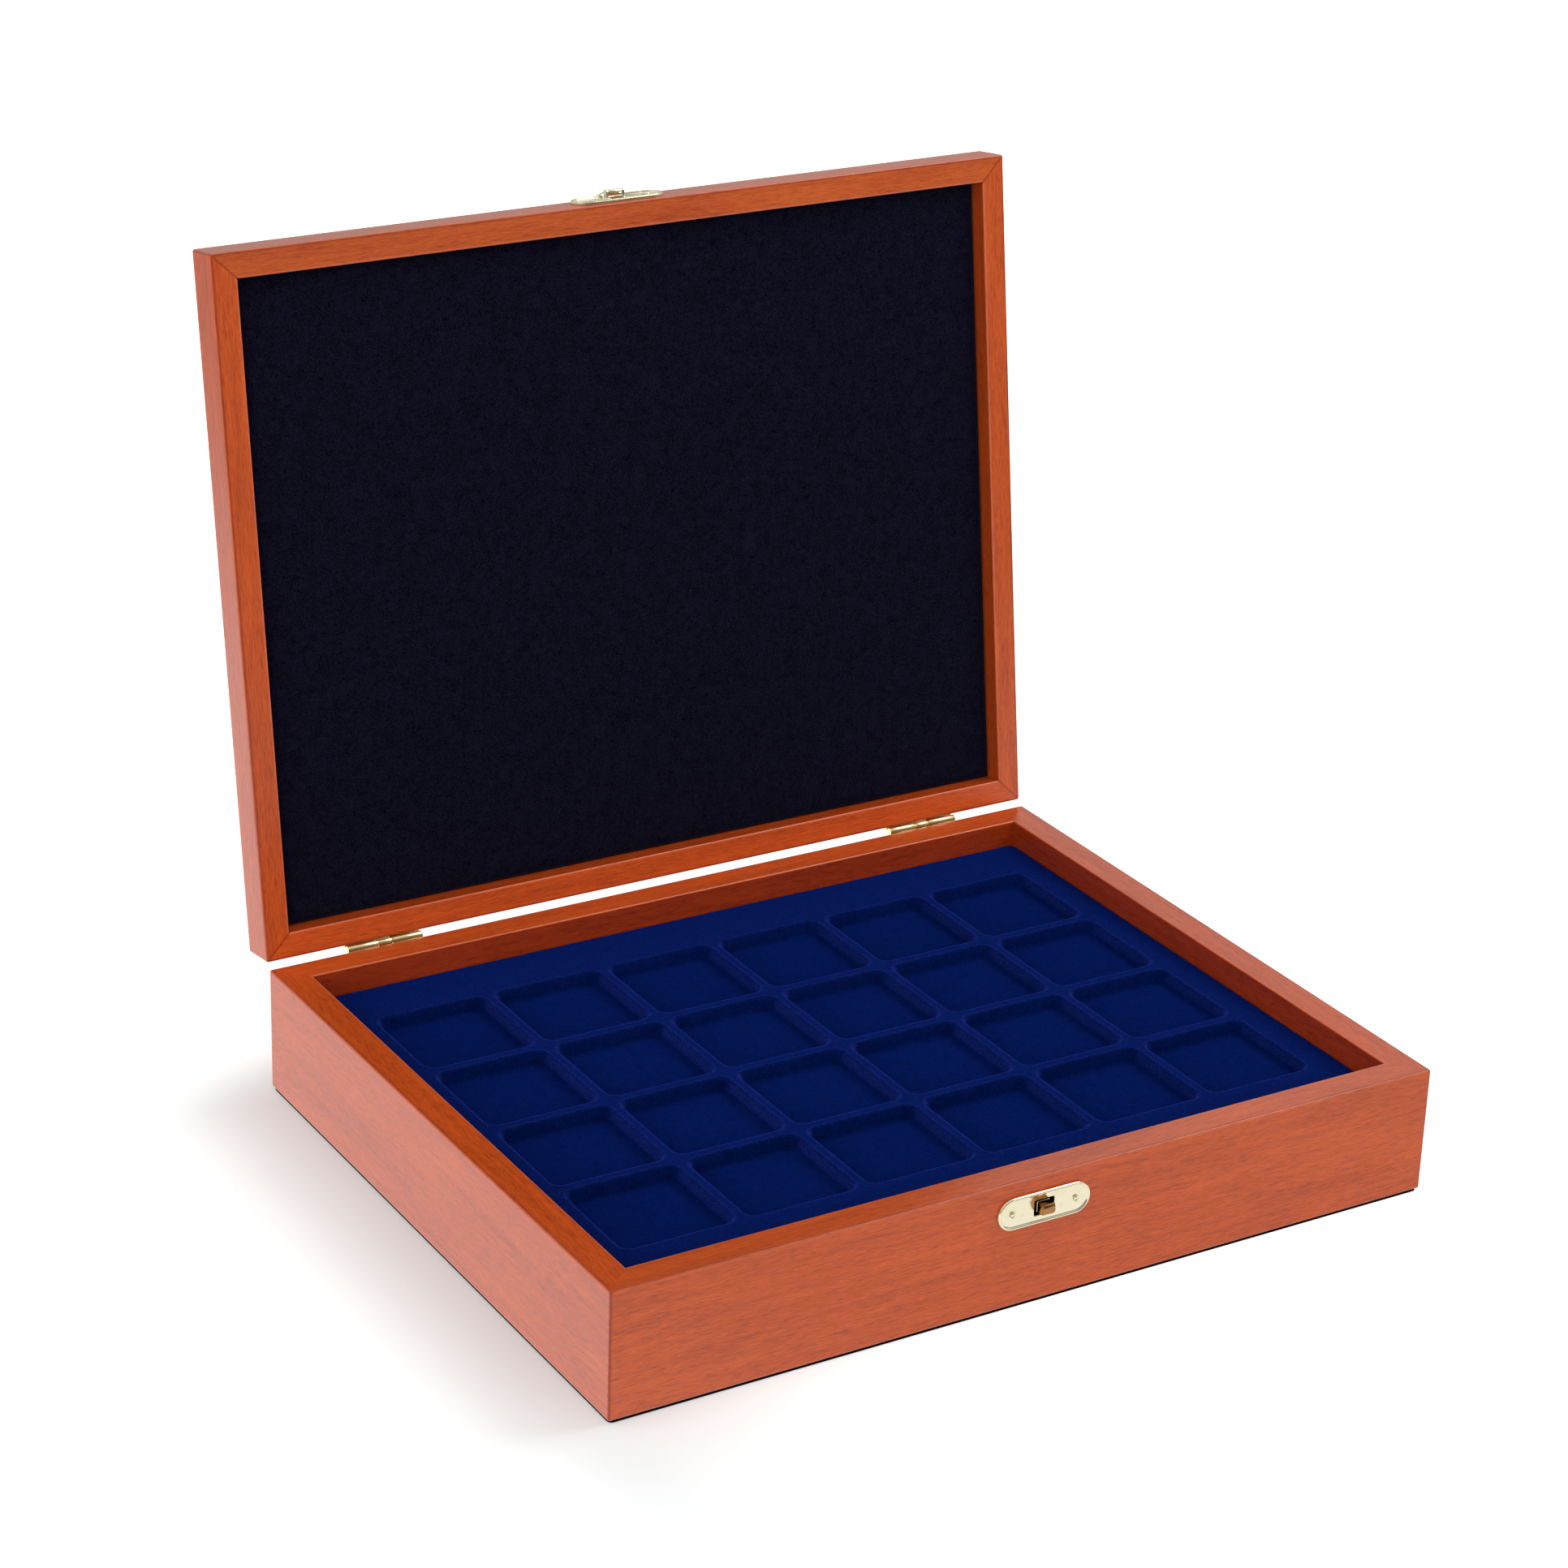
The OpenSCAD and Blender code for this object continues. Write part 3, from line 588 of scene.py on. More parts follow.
def soft_square(half_x, half_y, radius, z, steps, side_steps):
    """Points round a rectangle with round corners, anticlockwise."""
    points = []
    reach_x, reach_y = half_x - radius, half_y - radius
    corners = ((1, 1), (-1, 1), (-1, -1), (1, -1))
    for turn, (sx, sy) in enumerate(corners):
        arc = quarter((sx * reach_x, sy * reach_y), radius, 90 * turn, steps)
        nx, ny = corners[(turn + 1) % 4]
        onward = quarter((nx * reach_x, ny * reach_y), radius, 90 * (turn + 1), steps)[0]
        points += arc
        for i in range(1, side_steps):
            share = i / side_steps
            points.append((arc[-1][0] + share * (onward[0] - arc[-1][0]),
                           arc[-1][1] + share * (onward[1] - arc[-1][1])))
    return [Vector((x, y, z)) for x, y in points]


def pocket_profile():
    """(inwards from the mouth, height, how much painted sheen) from the flat top over
    the lip and down to the floor."""
    points = [(-lip_r - lip_line, 0, top_painted_sheen)]
    points += [(-lip_r + lip_r * math.sin(math.radians(a)),
                -lip_r + lip_r * math.cos(math.radians(a)),
                lip_painted_sheen + (1 - lip_painted_sheen) * math.sin(math.radians(a)))
               for a in range(0, 91, 15)]
    wall = pocket_draft / pocket_depth
    foot = pocket_depth - cove_r
    points += [(wall * d, -d, nap) for d, nap in ((0.5 * foot, 1), (0.85 * foot, wall_painted_sheen))]
    base = wall * foot
    points += [(base + cove_r * (1 - math.cos(math.radians(a))),
                -foot - cove_r * math.sin(math.radians(a)), 0) for a in range(0, 91, 18)]
    return points + [(base + cove_r + extra, -pocket_depth, 0) for extra in floor_rings]


def join_loops(bm, outer, inner):
    """Faces between two loops of as many points."""
    count = len(outer)
    for j in range(count):
        k = (j + 1) % count
        bm.faces.new((outer[j], outer[k], inner[k], inner[j]))


def pocket_cell():
    """One pocket with its share of the flat sheet round it."""
    bm = bmesh.new()
    painted_sheen = bm.verts.layers.float.new("painted_sheen")
    steps, side_steps = 5, 10
    edge = [bm.verts.new(p) for p in soft_square(pitch_x / 2, pitch_y / 2, 1e-6, 0,
                                                 steps, side_steps)]
    for vertex in edge:
        vertex[painted_sheen] = top_painted_sheen
    loops = []
    for inwards, z, sheen_amount in pocket_profile():
        half = pocket_half - inwards
        radius = min(max(pocket_r - inwards, 0.4 * MM), half * 0.9)
        loops.append([bm.verts.new(p) for p in
                      soft_square(half, half, radius, z, steps, side_steps)])
        for vertex in loops[-1]:
            vertex[painted_sheen] = sheen_amount
    for outer, inner in zip([edge] + loops[:-1], loops):
        join_loops(bm, outer, inner)
    bm.faces.new(loops[-1])
    bmesh.ops.remove_doubles(bm, verts=bm.verts, dist=1e-5)
    return bm


def new_geometry_tree(name, **inputs):
    """A Geometry Nodes tree with named inputs of given kinds."""
    tree = bpy.data.node_groups.new(name, "GeometryNodeTree")
    for socket_name, kind in {"Geometry": "Geometry", **inputs, "Material": "Material"}.items():
        tree.interface.new_socket(socket_name, in_out="INPUT", socket_type="NodeSocket" + kind)
    tree.interface.new_socket("Geometry", in_out="OUTPUT", socket_type="NodeSocketGeometry")
    return tree, tree.nodes.new("NodeGroupInput").outputs


def finished_tree(tree, solid, material):
    """Ends a geometry tree with its material."""
    painted = add(tree, "GeometryNodeSetMaterial", {"Geometry": solid, "Material": material})
    leaving = tree.nodes.new("NodeGroupOutput")
    tree.links.new(painted.outputs[0], leaving.inputs["Geometry"])
    return tree


def pocket_grid_tree():
    """Geometry nodes that repeat a pocket cell in columns and rows."""
    tree, given = new_geometry_tree("pocket_grid", Columns="Int", Rows="Int", Width="Float",
                                    Depth="Float")
    grid = add(tree, "GeometryNodeMeshGrid",
               {"Size X": given["Width"], "Size Y": given["Depth"],
                "Vertices X": given["Columns"], "Vertices Y": given["Rows"]})
    cells = add(tree, "GeometryNodeInstanceOnPoints",
                {"Points": grid.outputs["Mesh"], "Instance": given["Geometry"]})
    solid = add(tree, "GeometryNodeRealizeInstances", {"Geometry": cells.outputs[0]})
    merged = add(tree, "GeometryNodeMergeByDistance",
                 {"Geometry": solid.outputs[0], "Distance": 0.01 * MM})
    return finished_tree(tree, merged.outputs[0], given["Material"])


def made_by(tree, made, **inputs):
    """Runs an object through a geometry tree, whose inputs it sets by identifier."""
    modifier = made.modifiers.new(tree.name, "NODES")
    modifier.node_group = tree
    for socket in tree.interface.items_tree:
        if socket.item_type == "SOCKET" and socket.in_out == "INPUT" and socket.name in inputs:
            modifier[socket.identifier] = inputs[socket.name]
    return baked(made)


def flocked_nap():
    """The mottled nap of flock or velvet, with a painted sheen mixed in where asked:
    colour and height at a place in metres.
    """
    group, given, out = new_group("flocked_nap", [
        ("Vector", "NodeSocketVector", None),
        ("Pile", "NodeSocketColor", (0.01, 0.02, 0.1, 1)),
        ("Shadow", "NodeSocketColor", (0.005, 0.01, 0.05, 1)),
        ("Painted Sheen Colour", "NodeSocketColor", (0.02, 0.03, 0.2, 1)),
        ("Painted Sheen Amount", "NodeSocketFloat", 0.0),
        ("Fibre Size", "NodeSocketFloat", 0.0004),
    ], [("Color", "NodeSocketColor"), ("Height", "NodeSocketFloat")])
    fineness = reckoned(group, "DIVIDE", 1.0, given["Fibre Size"])
    fibre = add(group, "ShaderNodeTexNoise",
                {"Vector": given["Vector"], "Scale": fineness, "Detail": 2.0,
                 "Roughness": 0.7}).outputs["Fac"]
    brushed = add(group, "ShaderNodeTexNoise",
                  {"Vector": given["Vector"], "Scale": 260.0, "Detail": 4.0,
                   "Roughness": 0.6, "Distortion": 0.8}).outputs["Fac"]
    mottle = reckoned(group, "MULTIPLY_ADD", brushed, 0.4, fibre)
    lying = mixed(group, ranged(group, mottle, 0.52, 0.88), given["Shadow"], given["Pile"])
    sheen_share = reckoned(group, "MULTIPLY", ranged(group, fibre, 0.3, 0.65), given["Painted Sheen Amount"])
    group.links.new(mixed(group, sheen_share, lying, given["Painted Sheen Colour"]), out["Color"])
    group.links.new(fibre, out["Height"])
    return group


nap_group = flocked_nap()


def napped_cloth(name, pile, shadow, painted_sheen_colour, fibre_size, sheen, sheen_tint, relief):
    """A matt fabric with nap, whose fibres glow softly where seen edge on. Where the
    mesh marks it, a painted sheen colour is mixed into its colour as it is seen edge on."""
    material, tree = new_material(name)
    # Painted sheen: the colour turns paler where the nap is marked and seen edge on.
    edge_on = ranged(tree, add(tree, "ShaderNodeLayerWeight").outputs["Facing"], 0.25, 0.95)
    raised = reckoned(tree, "MULTIPLY", carried(tree, "painted_sheen"), edge_on)
    nap = add(tree, "ShaderNodeGroup",
              {"Vector": case_place(tree), "Pile": pile, "Shadow": shadow, "Painted Sheen Colour": painted_sheen_colour,
               "Painted Sheen Amount": raised, "Fibre Size": fibre_size}, node_tree=nap_group).outputs
    fuzz = add(tree, "ShaderNodeBump", {"Strength": relief, "Distance": fibre_size,
                                        "Height": nap["Height"]})
    surface(tree, {"Base Color": nap["Color"], "Normal": fuzz.outputs[0],
                   "Roughness": 0.95, "Specular IOR Level": 0.0, "Sheen Weight": sheen,
                   "Sheen Roughness": 0.5, "Sheen Tint": sheen_tint})
    return material


# Its third colour is the painted sheen.
flock = napped_cloth("royal_blue_flock", (0.0021, 0.0115, 0.094, 1),
                     (0.0006, 0.0046, 0.040, 1), (0.034, 0.045, 0.34, 1),
                     0.5 * MM, 0.3, (0.02, 0.09, 1.0, 1), 0.35)


def tray_mesh():
    """The formed sheet's outer skin, its flat top at Z = 0."""
    cell_mesh = bpy.data.meshes.new("pocket_cell")
    cell = pocket_cell()
    cell.to_mesh(cell_mesh)
    cell.free()
    grid_object = made_by(pocket_grid_tree(), in_scene("pocket_grid", cell_mesh),
                          Columns=columns, Rows=rows, Width=(columns - 1) * pitch_x,
                          Depth=(rows - 1) * pitch_y, Material=flock)
    bm = bmesh.new()
    bm.from_mesh(grid_object.data)
    bpy.data.objects.remove(grid_object)
    block_edge = [e for e in bm.edges if e.is_boundary]
    skirt = []
    profile = [(skirt_r - skirt_r * math.sin(math.radians(a)),
                -skirt_r + skirt_r * math.cos(math.radians(a))) for a in range(0, 91, 15)]
    for inwards, z in profile + [(0, -tray_h / 2), (0, -tray_h)]:
        skirt.append([bm.verts.new(p) for p in soft_square(
            tray_w / 2 - inwards, tray_d / 2 - inwards, tray_r - inwards, z, 8, 48)])
    for outer, inner in zip(skirt[1:], skirt[:-1]):
        join_loops(bm, outer, inner)
    top_edge = [e for v in skirt[0] for e in v.link_edges
                if e.other_vert(v) in skirt[0] and e.is_boundary]
    bmesh.ops.triangle_fill(bm, edges=list(set(top_edge)) + block_edge, use_beauty=True,
                            use_dissolve=False, normal=(0, 0, 1))
    bmesh.ops.remove_doubles(bm, verts=bm.verts, dist=1e-6)
    bmesh.ops.recalc_face_normals(bm, faces=bm.faces)
    ripple, broad, narrow = 0.05 * MM, 7 * MM, 2.6 * MM
    bm.normal_update()
    for vertex in bm.verts:
        if vertex.co.z > -tray_h:
            wave = noise.noise(vertex.co / broad) + 0.5 * noise.noise(vertex.co / narrow)
            vertex.co -= vertex.normal * ripple * (0.6 + wave)
    return bm


formed_sheet = tray_mesh()
for level in ("bottom", "middle", "top"):
    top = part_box(f"tray_{level}")[1].z
    tray = new_piece(f"flocked_{level}_tray", formed_sheet.copy(), flock,
                     Matrix.Translation((0, 0, top)), angle=75)
    shell = tray.modifiers.new("sheet", "SOLIDIFY")
    shell.thickness = sheet_t
    shell.offset = -1.0
    baked(tray)
    stand_for(tray, f"tray_{level}", f"tray_{level}")
formed_sheet.free()


# Lid liner
# A thin board padded with wadding and covered in near-black navy velvet,
# pressed into the lid's recess so that its edges roll over.
liner_gap = 0.15 * MM
liner_t = 5.4 * MM
liner_w = case_w - 2 * (rail_t + liner_gap)
liner_d = case_d - 2 * (rail_t + liner_gap)
liner_foot = lid_top - panel_t - liner_t
liner_top = lid_top - panel_t
roll_r = 1.6 * MM
fullness = 0.35 * MM
unevenness, lump_size = 0.12 * MM, 35 * MM
velvet = napped_cloth("navy_velvet", (0.0098, 0.0088, 0.0215, 1), (0.0010, 0.0012, 0.0040, 1),
                      (0.02, 0.02, 0.05, 1), 0.5 * MM, 0.04, (0.5, 0.5, 1.0, 1), 0.3)


def padded_board():
    """The liner with its face down, a little fuller in the middle. Its rows lie
    closer together near the edges."""
    bm = bmesh.new()
    across, along = 74, 58
    crowding = 1.12
    top = []
    for j in range(along + 1):
        row = []
        for i in range(across + 1):
            u, v = 2 * i / across - 1, 2 * j / along - 1
            x = liner_w / 2 * math.copysign(1 - (1 - abs(u)) ** crowding, u)
            y = liner_d / 2 * math.copysign(1 - (1 - abs(v)) ** crowding, v)
            edge = min(liner_w / 2 - abs(x), liner_d / 2 - abs(y))
            roll = 0.0
            if edge < roll_r:
                roll = roll_r - math.sqrt(max(roll_r ** 2 - (roll_r - edge) ** 2, 0))
            swell = fullness * (1 - u ** 4) * (1 - v ** 4)
            wave = unevenness * noise.noise(Vector((x, y, 0)) / lump_size)
            z = liner_foot + fullness + roll - swell + wave * (edge > roll_r)
            row.append(bm.verts.new((x, y, z)))
        top.append(row)
    for j in range(along):
        for i in range(across):
            bm.faces.new((top[j][i], top[j + 1][i], top[j + 1][i + 1], top[j][i + 1]))
    edges = [e for e in bm.edges if e.is_boundary]
    walls = bmesh.ops.extrude_edge_only(bm, edges=edges)["geom"]
    raised = [g for g in walls if isinstance(g, bmesh.types.BMVert)]
    for vertex in raised:
        vertex.co.z = liner_top
    back = [e for e in bm.edges if e.is_boundary]
    bmesh.ops.edgeloop_fill(bm, edges=back)
    bmesh.ops.recalc_face_normals(bm, faces=bm.faces)
    return bm


liner = new_piece("velvet_liner", padded_board(), velvet, opened, angle=60)
stand_for(liner, "lid_liner", "lid")


# Underside felt
# Black felt, cut just smaller than the base and glued over the floor and the
# walls' feet. Its cut edge is the dark line under the wood.
felt_w = felt_high.x - felt_low.x
felt_d = felt_high.y - felt_low.y
felt_t = felt_high.z - felt_low.z
felt_corner = 1.6 * MM
black_felt = napped_cloth("black_felt", (0.007, 0.006, 0.008, 1), (0.003, 0.003, 0.004, 1),
                          (0.02, 0.02, 0.02, 1), 0.5 * MM, 0.02, (1, 1, 1, 1), 0.5)


def felt_sheet():
    """The felt, with a soft arris along its cut edge."""
    bm = bmesh.new()
    cut_r = 0.25 * MM
    loops = []
    for inwards, z in ((0.4 * cut_r, 0), (0, 0.4 * cut_r), (0, felt_t - cut_r),
                       (cut_r, felt_t)):
        loops.append([bm.verts.new(p) for p in soft_square(
            felt_w / 2 - inwards, felt_d / 2 - inwards, felt_corner, z, 6, 60)])
    for lower, upper in zip(loops[:-1], loops[1:]):
        join_loops(bm, lower, upper)
    bm.faces.new(loops[0][::-1])
    bm.faces.new(loops[-1])
    bmesh.ops.recalc_face_normals(bm, faces=bm.faces)
    return bm


felt = new_piece("base_felt", felt_sheet(), black_felt, angle=60)
stand_for(felt, "underside_felt", "base")


# Clasp plates
# Two stadium-shaped plates stamped from pale brass sheet, each with a bevelled
# raised border and a window, and nailed to the front of base and lid.
plate_l = 34.4 * MM
plate_h = 11.2 * MM
plate_t = 0.7 * MM
border_rise = 0.5 * MM
window_w, window_h = 7.4 * MM, 5.4 * MM
nail_span = 23.6 * MM
nail_seat_r, nail_hole_r = 1.0 * MM, 0.62 * MM
front_face = -case_d / 2
plate_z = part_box("clasp_base_plate")[0].z + plate_h / 2
lid_plate_z = lid_foot + lid_h / 2


def brass_wear():
    """Pale brass: the tint and roughness vary a little, with fine polish marks."""
    group, given, out = new_group("brass_wear", [
        ("Vector", "NodeSocketVector", None),
        ("Tint", "NodeSocketColor", (0.85, 0.75, 0.45, 1)),
        ("Dull Tint", "NodeSocketColor", (0.7, 0.58, 0.3, 1)),
    ], [("Color", "NodeSocketColor"), ("Roughness", "NodeSocketFloat"),
        ("Height", "NodeSocketFloat")])
    cloud = add(group, "ShaderNodeTexNoise",
                {"Vector": given["Vector"], "Scale": 420.0, "Detail": 3.0}).outputs["Fac"]
    marks = add(group, "ShaderNodeVectorMath",
                {0: given["Vector"], 1: (600, 6000, 6000)}, operation="MULTIPLY")
    polish = add(group, "ShaderNodeTexNoise",
                 {"Vector": marks.outputs[0], "Scale": 1.0, "Detail": 2.0})
    colour = mixed(group, ranged(group, cloud, 0.55, 0.85), given["Tint"], given["Dull Tint"])
    group.links.new(colour, out["Color"])
    group.links.new(ranged(group, cloud, 0.3, 0.75, 0.1, 0.2), out["Roughness"])
    group.links.new(polish.outputs["Fac"], out["Height"])
    return group


wear_group = brass_wear()


def polished_metal(name, tint, dull_tint):
    """Lacquered brass with light wear."""
    material, tree = new_material(name)
    wear = add(tree, "ShaderNodeGroup",
               {"Vector": case_place(tree), "Tint": tint, "Dull Tint": dull_tint},
               node_tree=wear_group).outputs
    relief = add(tree, "ShaderNodeBump", {"Strength": 0.08, "Distance": 0.02 * MM,
                                          "Height": wear["Height"]})
    surface(tree, {"Base Color": wear["Color"], "Roughness": wear["Roughness"],
                   "Normal": relief.outputs[0], "Metallic": 1.0})
    return material


brass = polished_metal("pale_brass", (0.94, 0.87, 0.63, 1), (0.88, 0.77, 0.48, 1))
hinge_brass = polished_metal("golden_brass", (0.93, 0.82, 0.44, 1), (0.72, 0.58, 0.22, 1))
# Painted reflection: the clasp's nose is brass, coloured dark brown where it stands out, for the
# dark wood it mirrors.
painted_reflection_brass = polished_metal("brass_painted_dark_reflection", (0.45, 0.22, 0.08, 1), (0.25, 0.10, 0.03, 1))


def stadium(half_l, half_h, z, steps=16):
    """Points round a bar with half-round ends, anticlockwise."""
    points = []
    reach = half_l - half_h
    for side in (1, -1):
        for i in range(steps + 1):
            angle = math.pi * (i / steps - 0.5) + (0 if side > 0 else math.pi)
            points.append(Vector((side * reach + half_h * math.cos(angle),
                                  half_h * math.sin(angle), z)))
        points += [Vector((side * reach * (1 - 2 * k / 6), side * half_h, z))
                   for k in range(1, 6)]
    return points


def plate_blank():
    """A stamped plate lying down, its back on Z = 0, with countersunk nail holes.
    Its section is (inwards, up) from the back's edge over the border, in millimetres."""
    bm = bmesh.new()
    crest = plate_t + border_rise
    section = [(0.12, 0), (0, 0.1), (0, 0.42 * crest / MM), (0.1, 0.72 * crest / MM),
               (0.28, 0.93 * crest / MM), (0.46, crest / MM), (0.66, crest / MM),
               (0.84, 0.93 * crest / MM), (1.02, 0.76 * crest / MM),
               (1.18, plate_t / MM + 0.05), (1.36, plate_t / MM)]
    loops = []
    for inwards, z in section:
        loops.append([bm.verts.new(p) for p in stadium(
            plate_l / 2 - inwards * MM, plate_h / 2 - inwards * MM, z * MM)])
    for lower, upper in zip(loops[:-1], loops[1:]):
        join_loops(bm, lower, upper)
    openings = [[]]
    for wider, z in ((0.25, plate_t), (0.08, plate_t - 0.05 * MM), (0, plate_t - 0.2 * MM),
                     (0, 0)):
        openings[0].append([bm.verts.new(p) for p in soft_square(
            window_w / 2 + wider * MM, window_h / 2 + wider * MM, 0.5 * MM, z, 4, 4)])
    for x in (-nail_span / 2, nail_span / 2):
        openings.append([
            [bm.verts.new((x + r * math.cos(math.radians(a)), r * math.sin(math.radians(a)), z))
             for a in range(0, 360, 18)]
            for r, z in ((nail_seat_r + 0.15 * MM, plate_t), (nail_seat_r, plate_t - 0.1 * MM),
                         (nail_hole_r, plate_t - 0.45 * MM), (nail_hole_r, 0))])
    for rings in openings:
        for outer, inner in zip(rings[:-1], rings[1:]):
            join_loops(bm, outer, inner)
    for end, plate_loop in ((0, loops[-1]), (-1, loops[0])):
        bounding = [bm.edges.get((loop[i], loop[(i + 1) % len(loop)]))
                    for loop in [plate_loop] + [rings[end] for rings in openings]
                    for i in range(len(loop))]
        bmesh.ops.triangle_fill(bm, edges=bounding, use_beauty=True, use_dissolve=False)
    bmesh.ops.recalc_face_normals(bm, faces=bm.faces)
    return bm


on_front = Matrix.Rotation(math.radians(90), 4, "X")
base_plate = new_piece("base_clasp_plate", plate_blank(), brass,
                       Matrix.Translation((0, front_face, plate_z)) @ on_front, angle=50)
stand_for(base_plate, "clasp_base_plate", "base")


# Clasp, hinge leaves and pins
# Small brass pieces, cut and bent from sheet and rod. Tumbling has taken the
# sharpness off their edges.
def eased_copy(node_name, name, material, body, ease):
    """A copy of a CAD node with its sharp edges broken, standing for the node."""
    bm = bmesh.new()
    bm.from_mesh(frame["nodes"][node_name].data)
    bmesh.ops.remove_doubles(bm, verts=bm.verts, dist=2e-6)
    bmesh.ops.dissolve_limit(bm, angle_limit=math.radians(1.5), verts=bm.verts,
                             edges=bm.edges)
    sharp = [e for e in bm.edges if len(e.link_faces) == 2
             and e.calc_face_angle() > math.radians(40)]
    bmesh.ops.bevel(bm, geom=sharp, offset=ease, segments=2, profile=0.5,
                    affect="EDGES", clamp_overlap=True)
    for layers in (bm.loops.layers.float_vector, bm.loops.layers.uv):
        for layer in list(layers.values()):
            layers.remove(layer)
    made = new_piece(name, bm, material, angle=35)
    custom = made.data.attributes.get("custom_normal")
    if custom is not None:
        made.data.attributes.remove(custom)
    return stand_for(made, node_name, body)


eased, plate_eased, nose_eased = 0.08 * MM, 0.05 * MM, 0.2 * MM
bright_depth = 0.1 * MM
eased_copy("clasp_lid_plate", "lid_clasp_plate", brass, "lid", plate_eased)
nose = eased_copy("clasp_nose", "bent_nose", painted_reflection_brass, "base", nose_eased)
# The nose keeps plain brass only close to the case's front; the part that stands out carries the
# painted dark reflection.
nose.data.materials.append(brass)
for face in nose.data.polygons:
    if face.center.y > front_face - bright_depth:
        face.material_index = 1
eased_copy("clasp_hasp", "hasp", brass, "hasp", eased)
eased_copy("clasp_hasp_pin", "hasp_pin", brass, "lid", eased)
for hand in ("left", "right"):
    for part, part_name, body in (("base_leaf", "base_leaf", "base"),
                                  ("lid_leaf", "lid_leaf", "lid"), ("pin", "hinge_pin", "base")):
        eased_copy(f"hinge_{hand}_{part}", f"{hand}_{part_name}", hinge_brass, body,
                   eased)


# Nails and screws
# Round-headed brass pins hold the plates, and slotted countersunk brass screws
# hold the hinge leaves.
def fastener_tree():
    """Geometry nodes that set a fastener on each point, turned at random."""
    tree, given = new_geometry_tree("set_fasteners", Fastener="Object", Facing="Rotation",
                                    Seed="Int")
    shape = add(tree, "GeometryNodeObjectInfo", {"Object": given["Fastener"],
                                                 "As Instance": True})
    placed = add(tree, "GeometryNodeInstanceOnPoints",
                 {"Points": given["Geometry"], "Instance": shape.outputs["Geometry"],
                  "Rotation": given["Facing"]})
    spin = add(tree, "FunctionNodeRandomValue", {"Seed": given["Seed"]}, data_type="FLOAT")
    spin.inputs[3].default_value = math.pi
    turn = add(tree, "ShaderNodeCombineXYZ", {"Z": spin.outputs[1]})
    turned = add(tree, "GeometryNodeRotateInstances",
                 {"Instances": placed.outputs[0], "Rotation": turn.outputs[0]})
    solid = add(tree, "GeometryNodeRealizeInstances", {"Geometry": turned.outputs[0]})
    return finished_tree(tree, solid.outputs[0], given["Material"])


set_fasteners = fastener_tree()


def turned_shape(name, profile, steps=20):
    """An object made by turning a (radius, height) profile about Z."""
    bm = bmesh.new()
    rings = []
    for radius, z in profile:
        if radius == 0:
            rings.append([bm.verts.new((0, 0, z))])
        else:
            rings.append([bm.verts.new((radius * math.cos(2 * math.pi * i / steps),
                                        radius * math.sin(2 * math.pi * i / steps), z))
                          for i in range(steps)])
    for lower, upper in zip(rings[:-1], rings[1:]):
        for i in range(steps):
            k = (i + 1) % steps
            corners = [lower[i % len(lower)], lower[k % len(lower)],
                       upper[k % len(upper)], upper[i % len(upper)]]
            bm.faces.new(list(dict.fromkeys(corners)))
    bmesh.ops.recalc_face_normals(bm, faces=bm.faces)
    return bm


def template(name, bm):
    """An unlinked object that the fastener tree copies."""
    mesh = bpy.data.meshes.new(name)
    bm.to_mesh(mesh)
    bm.free()
    shade(mesh, 40)
    return bpy.data.objects.new(name, mesh)


def fasteners(name, shape, points, facing, seed, pose, node_name, body):
    """A set of one fastener at points on the closed case, standing for a CAD node."""
    mesh = bpy.data.meshes.new(name)
    mesh.from_pydata(points, [], [])
    made = made_by(set_fasteners, in_scene(name, mesh), Fastener=shape, Facing=facing,
                   Seed=seed, Material=brass)
    if pose is not None:
        made.data.transform(pose)
    return stand_for(made, node_name, body)


nail_head_r, nail_head_h, nail_r, nail_l = 0.78 * MM, 0.45 * MM, 0.5 * MM, 8 * MM
dome = [(0, nail_head_h)] + [
    (nail_head_r * math.sin(math.radians(a)), nail_head_h * math.cos(math.radians(a)))
    for a in range(15, 91, 15)]
plate_nail = template("plate_nail", turned_shape("plate_nail", dome + [
    (nail_head_r, -0.2 * MM), (nail_r, -0.4 * MM), (nail_r, -nail_l + nail_r),
    (0, -nail_l)]))

screw_head_r, screw_r, screw_l = 1.8 * MM, 0.9 * MM, 8 * MM
screw_span = 18 * MM
slot_half, slot_depth = 0.25 * MM, 0.45 * MM


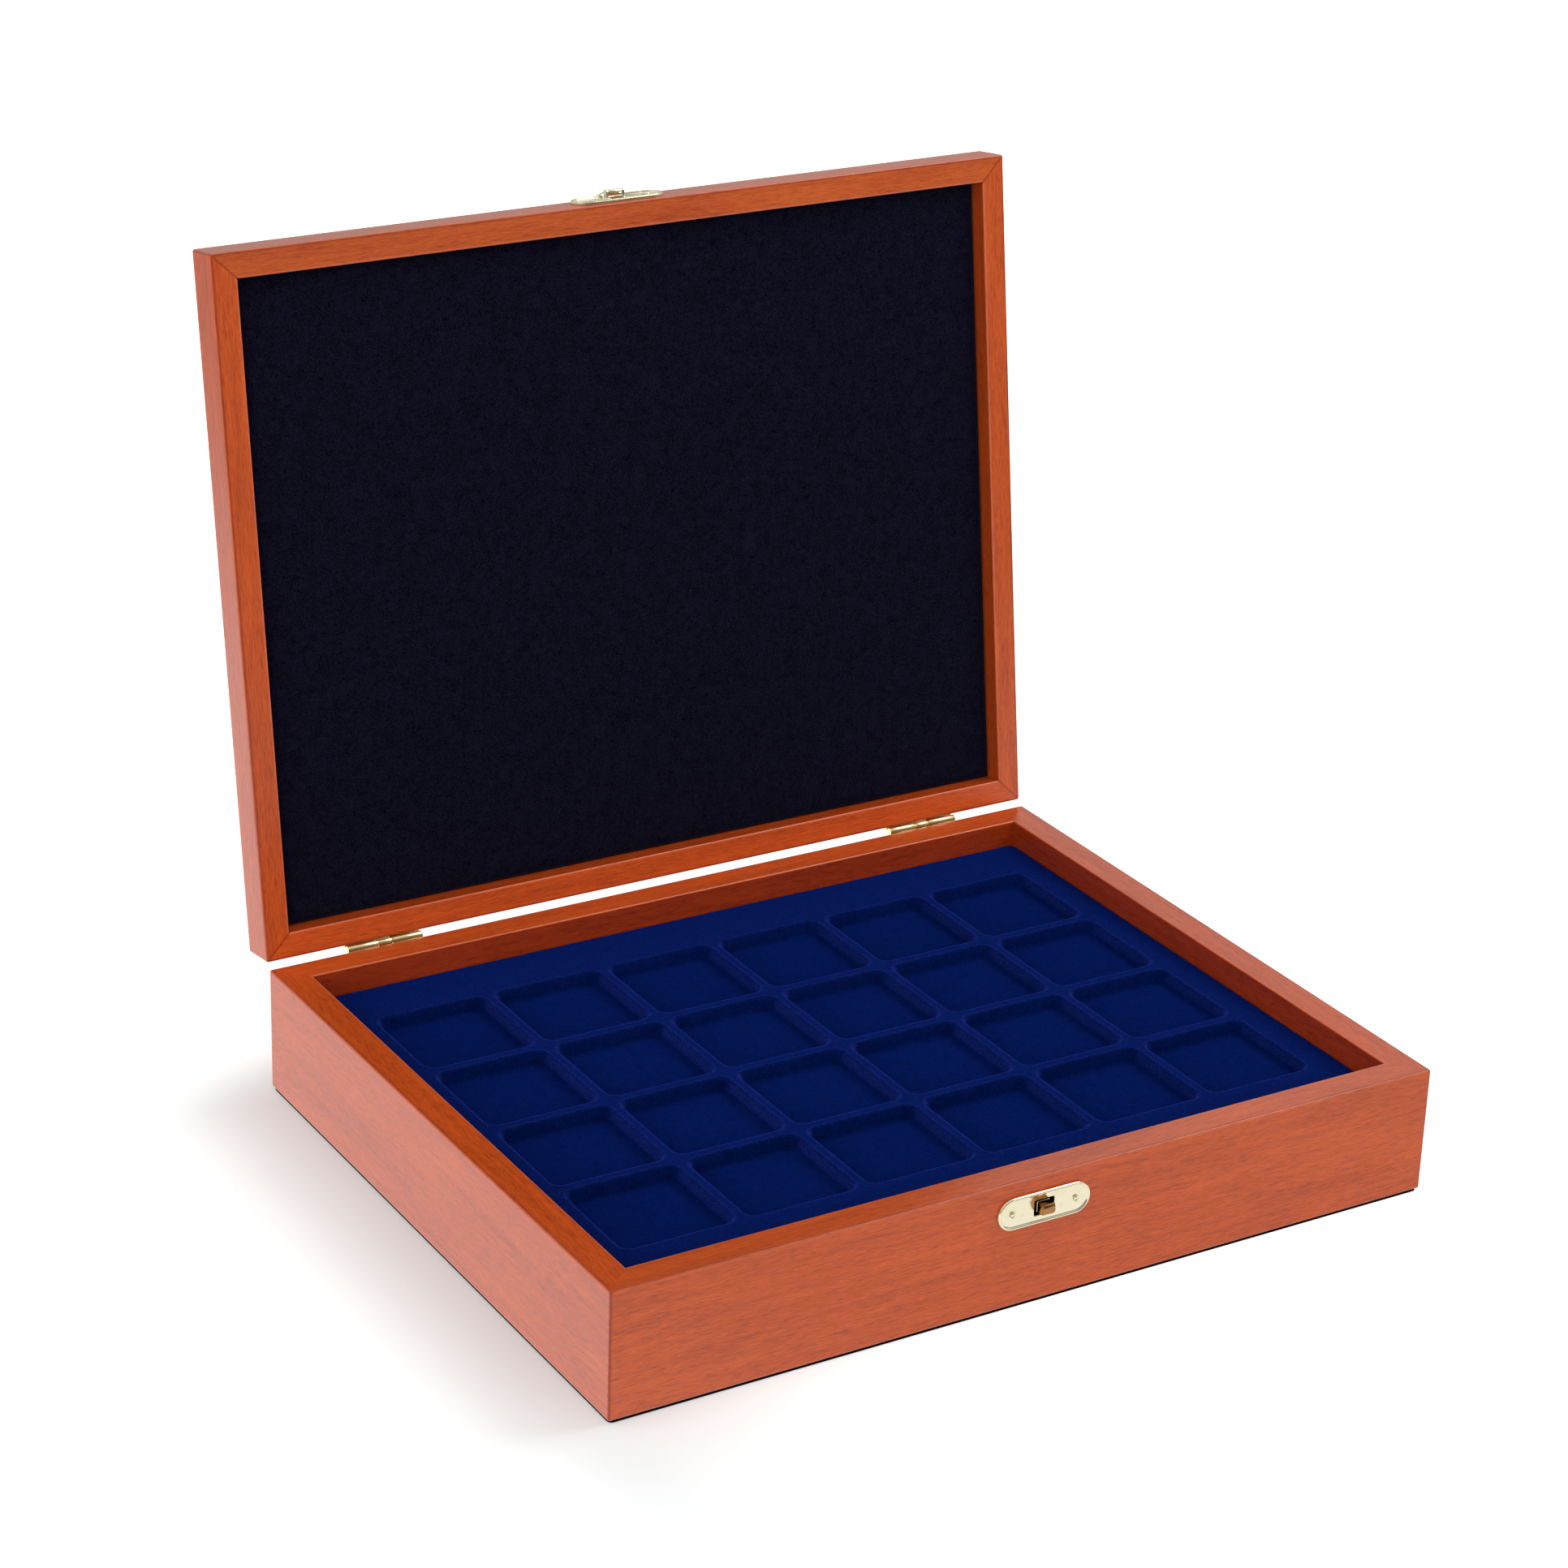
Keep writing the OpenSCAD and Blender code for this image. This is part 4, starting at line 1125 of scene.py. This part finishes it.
def slotted_screw():
    """A countersunk screw, its flat head level with Z = 0."""
    head_t = screw_head_r - screw_r
    bm = turned_shape("screw", [(0, 0), (0.9 * screw_head_r, 0), (screw_head_r, -0.06 * MM),
                                (screw_r, -head_t), (screw_r, -screw_l + 2 * screw_r),
                                (0.2 * MM, -screw_l), (0, -screw_l)], 28)
    for sign in (-1, 1):
        cut_across(bm, (0, sign * slot_half, 0), (0, 1, 0), 1e-7)
    slot = [f for f in bm.faces if abs(f.normal.z) > 0.9 and f.calc_center_median().z > -1e-5
            and abs(f.calc_center_median().y) < slot_half]
    sunk = bmesh.ops.extrude_face_region(bm, geom=slot)["geom"]
    for part in sunk:
        if isinstance(part, bmesh.types.BMVert):
            part.co.z = -slot_depth
    bmesh.ops.delete(bm, geom=slot, context="FACES")
    bmesh.ops.recalc_face_normals(bm, faces=bm.faces)
    return bm


leaf_screw = template("leaf_screw", slotted_screw())
leaf_t = 0.8 * MM
leaf_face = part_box("hinge_left_base_leaf")[0].y + leaf_t
screw_drop = hinge_line.z - (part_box("hinge_base_screws")[0].z + screw_head_r)
hinge_xs = [sum(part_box(f"hinge_{hand}_pin")[i].x for i in (0, 1)) / 2
            for hand in ("left", "right")]
screw_xs = [x + s * screw_span / 2 for x in hinge_xs for s in (-1, 1)]
to_front = (math.radians(90), 0, 0)
to_back = (math.radians(-90), 0, 0)
nail_y = front_face - plate_t
nail_xs = (-nail_span / 2, nail_span / 2)
fasteners("base_plate_nails", plate_nail, [(x, nail_y, plate_z) for x in nail_xs],
          to_front, 3, None, "clasp_base_nails", "base")
fasteners("lid_plate_nails", plate_nail, [(x, nail_y, lid_plate_z) for x in nail_xs],
          to_front, 5, opened, "clasp_lid_nails", "lid")
fasteners("base_leaf_screws", leaf_screw,
          [(x, leaf_face, hinge_line.z - screw_drop) for x in screw_xs],
          to_back, 7, None, "hinge_base_screws", "base")
fasteners("lid_leaf_screws", leaf_screw,
          [(x, leaf_face, hinge_line.z + screw_drop) for x in screw_xs],
          to_back, 11, opened, "hinge_lid_screws", "lid")
for used in (plate_nail, leaf_screw):
    bpy.data.objects.remove(used)
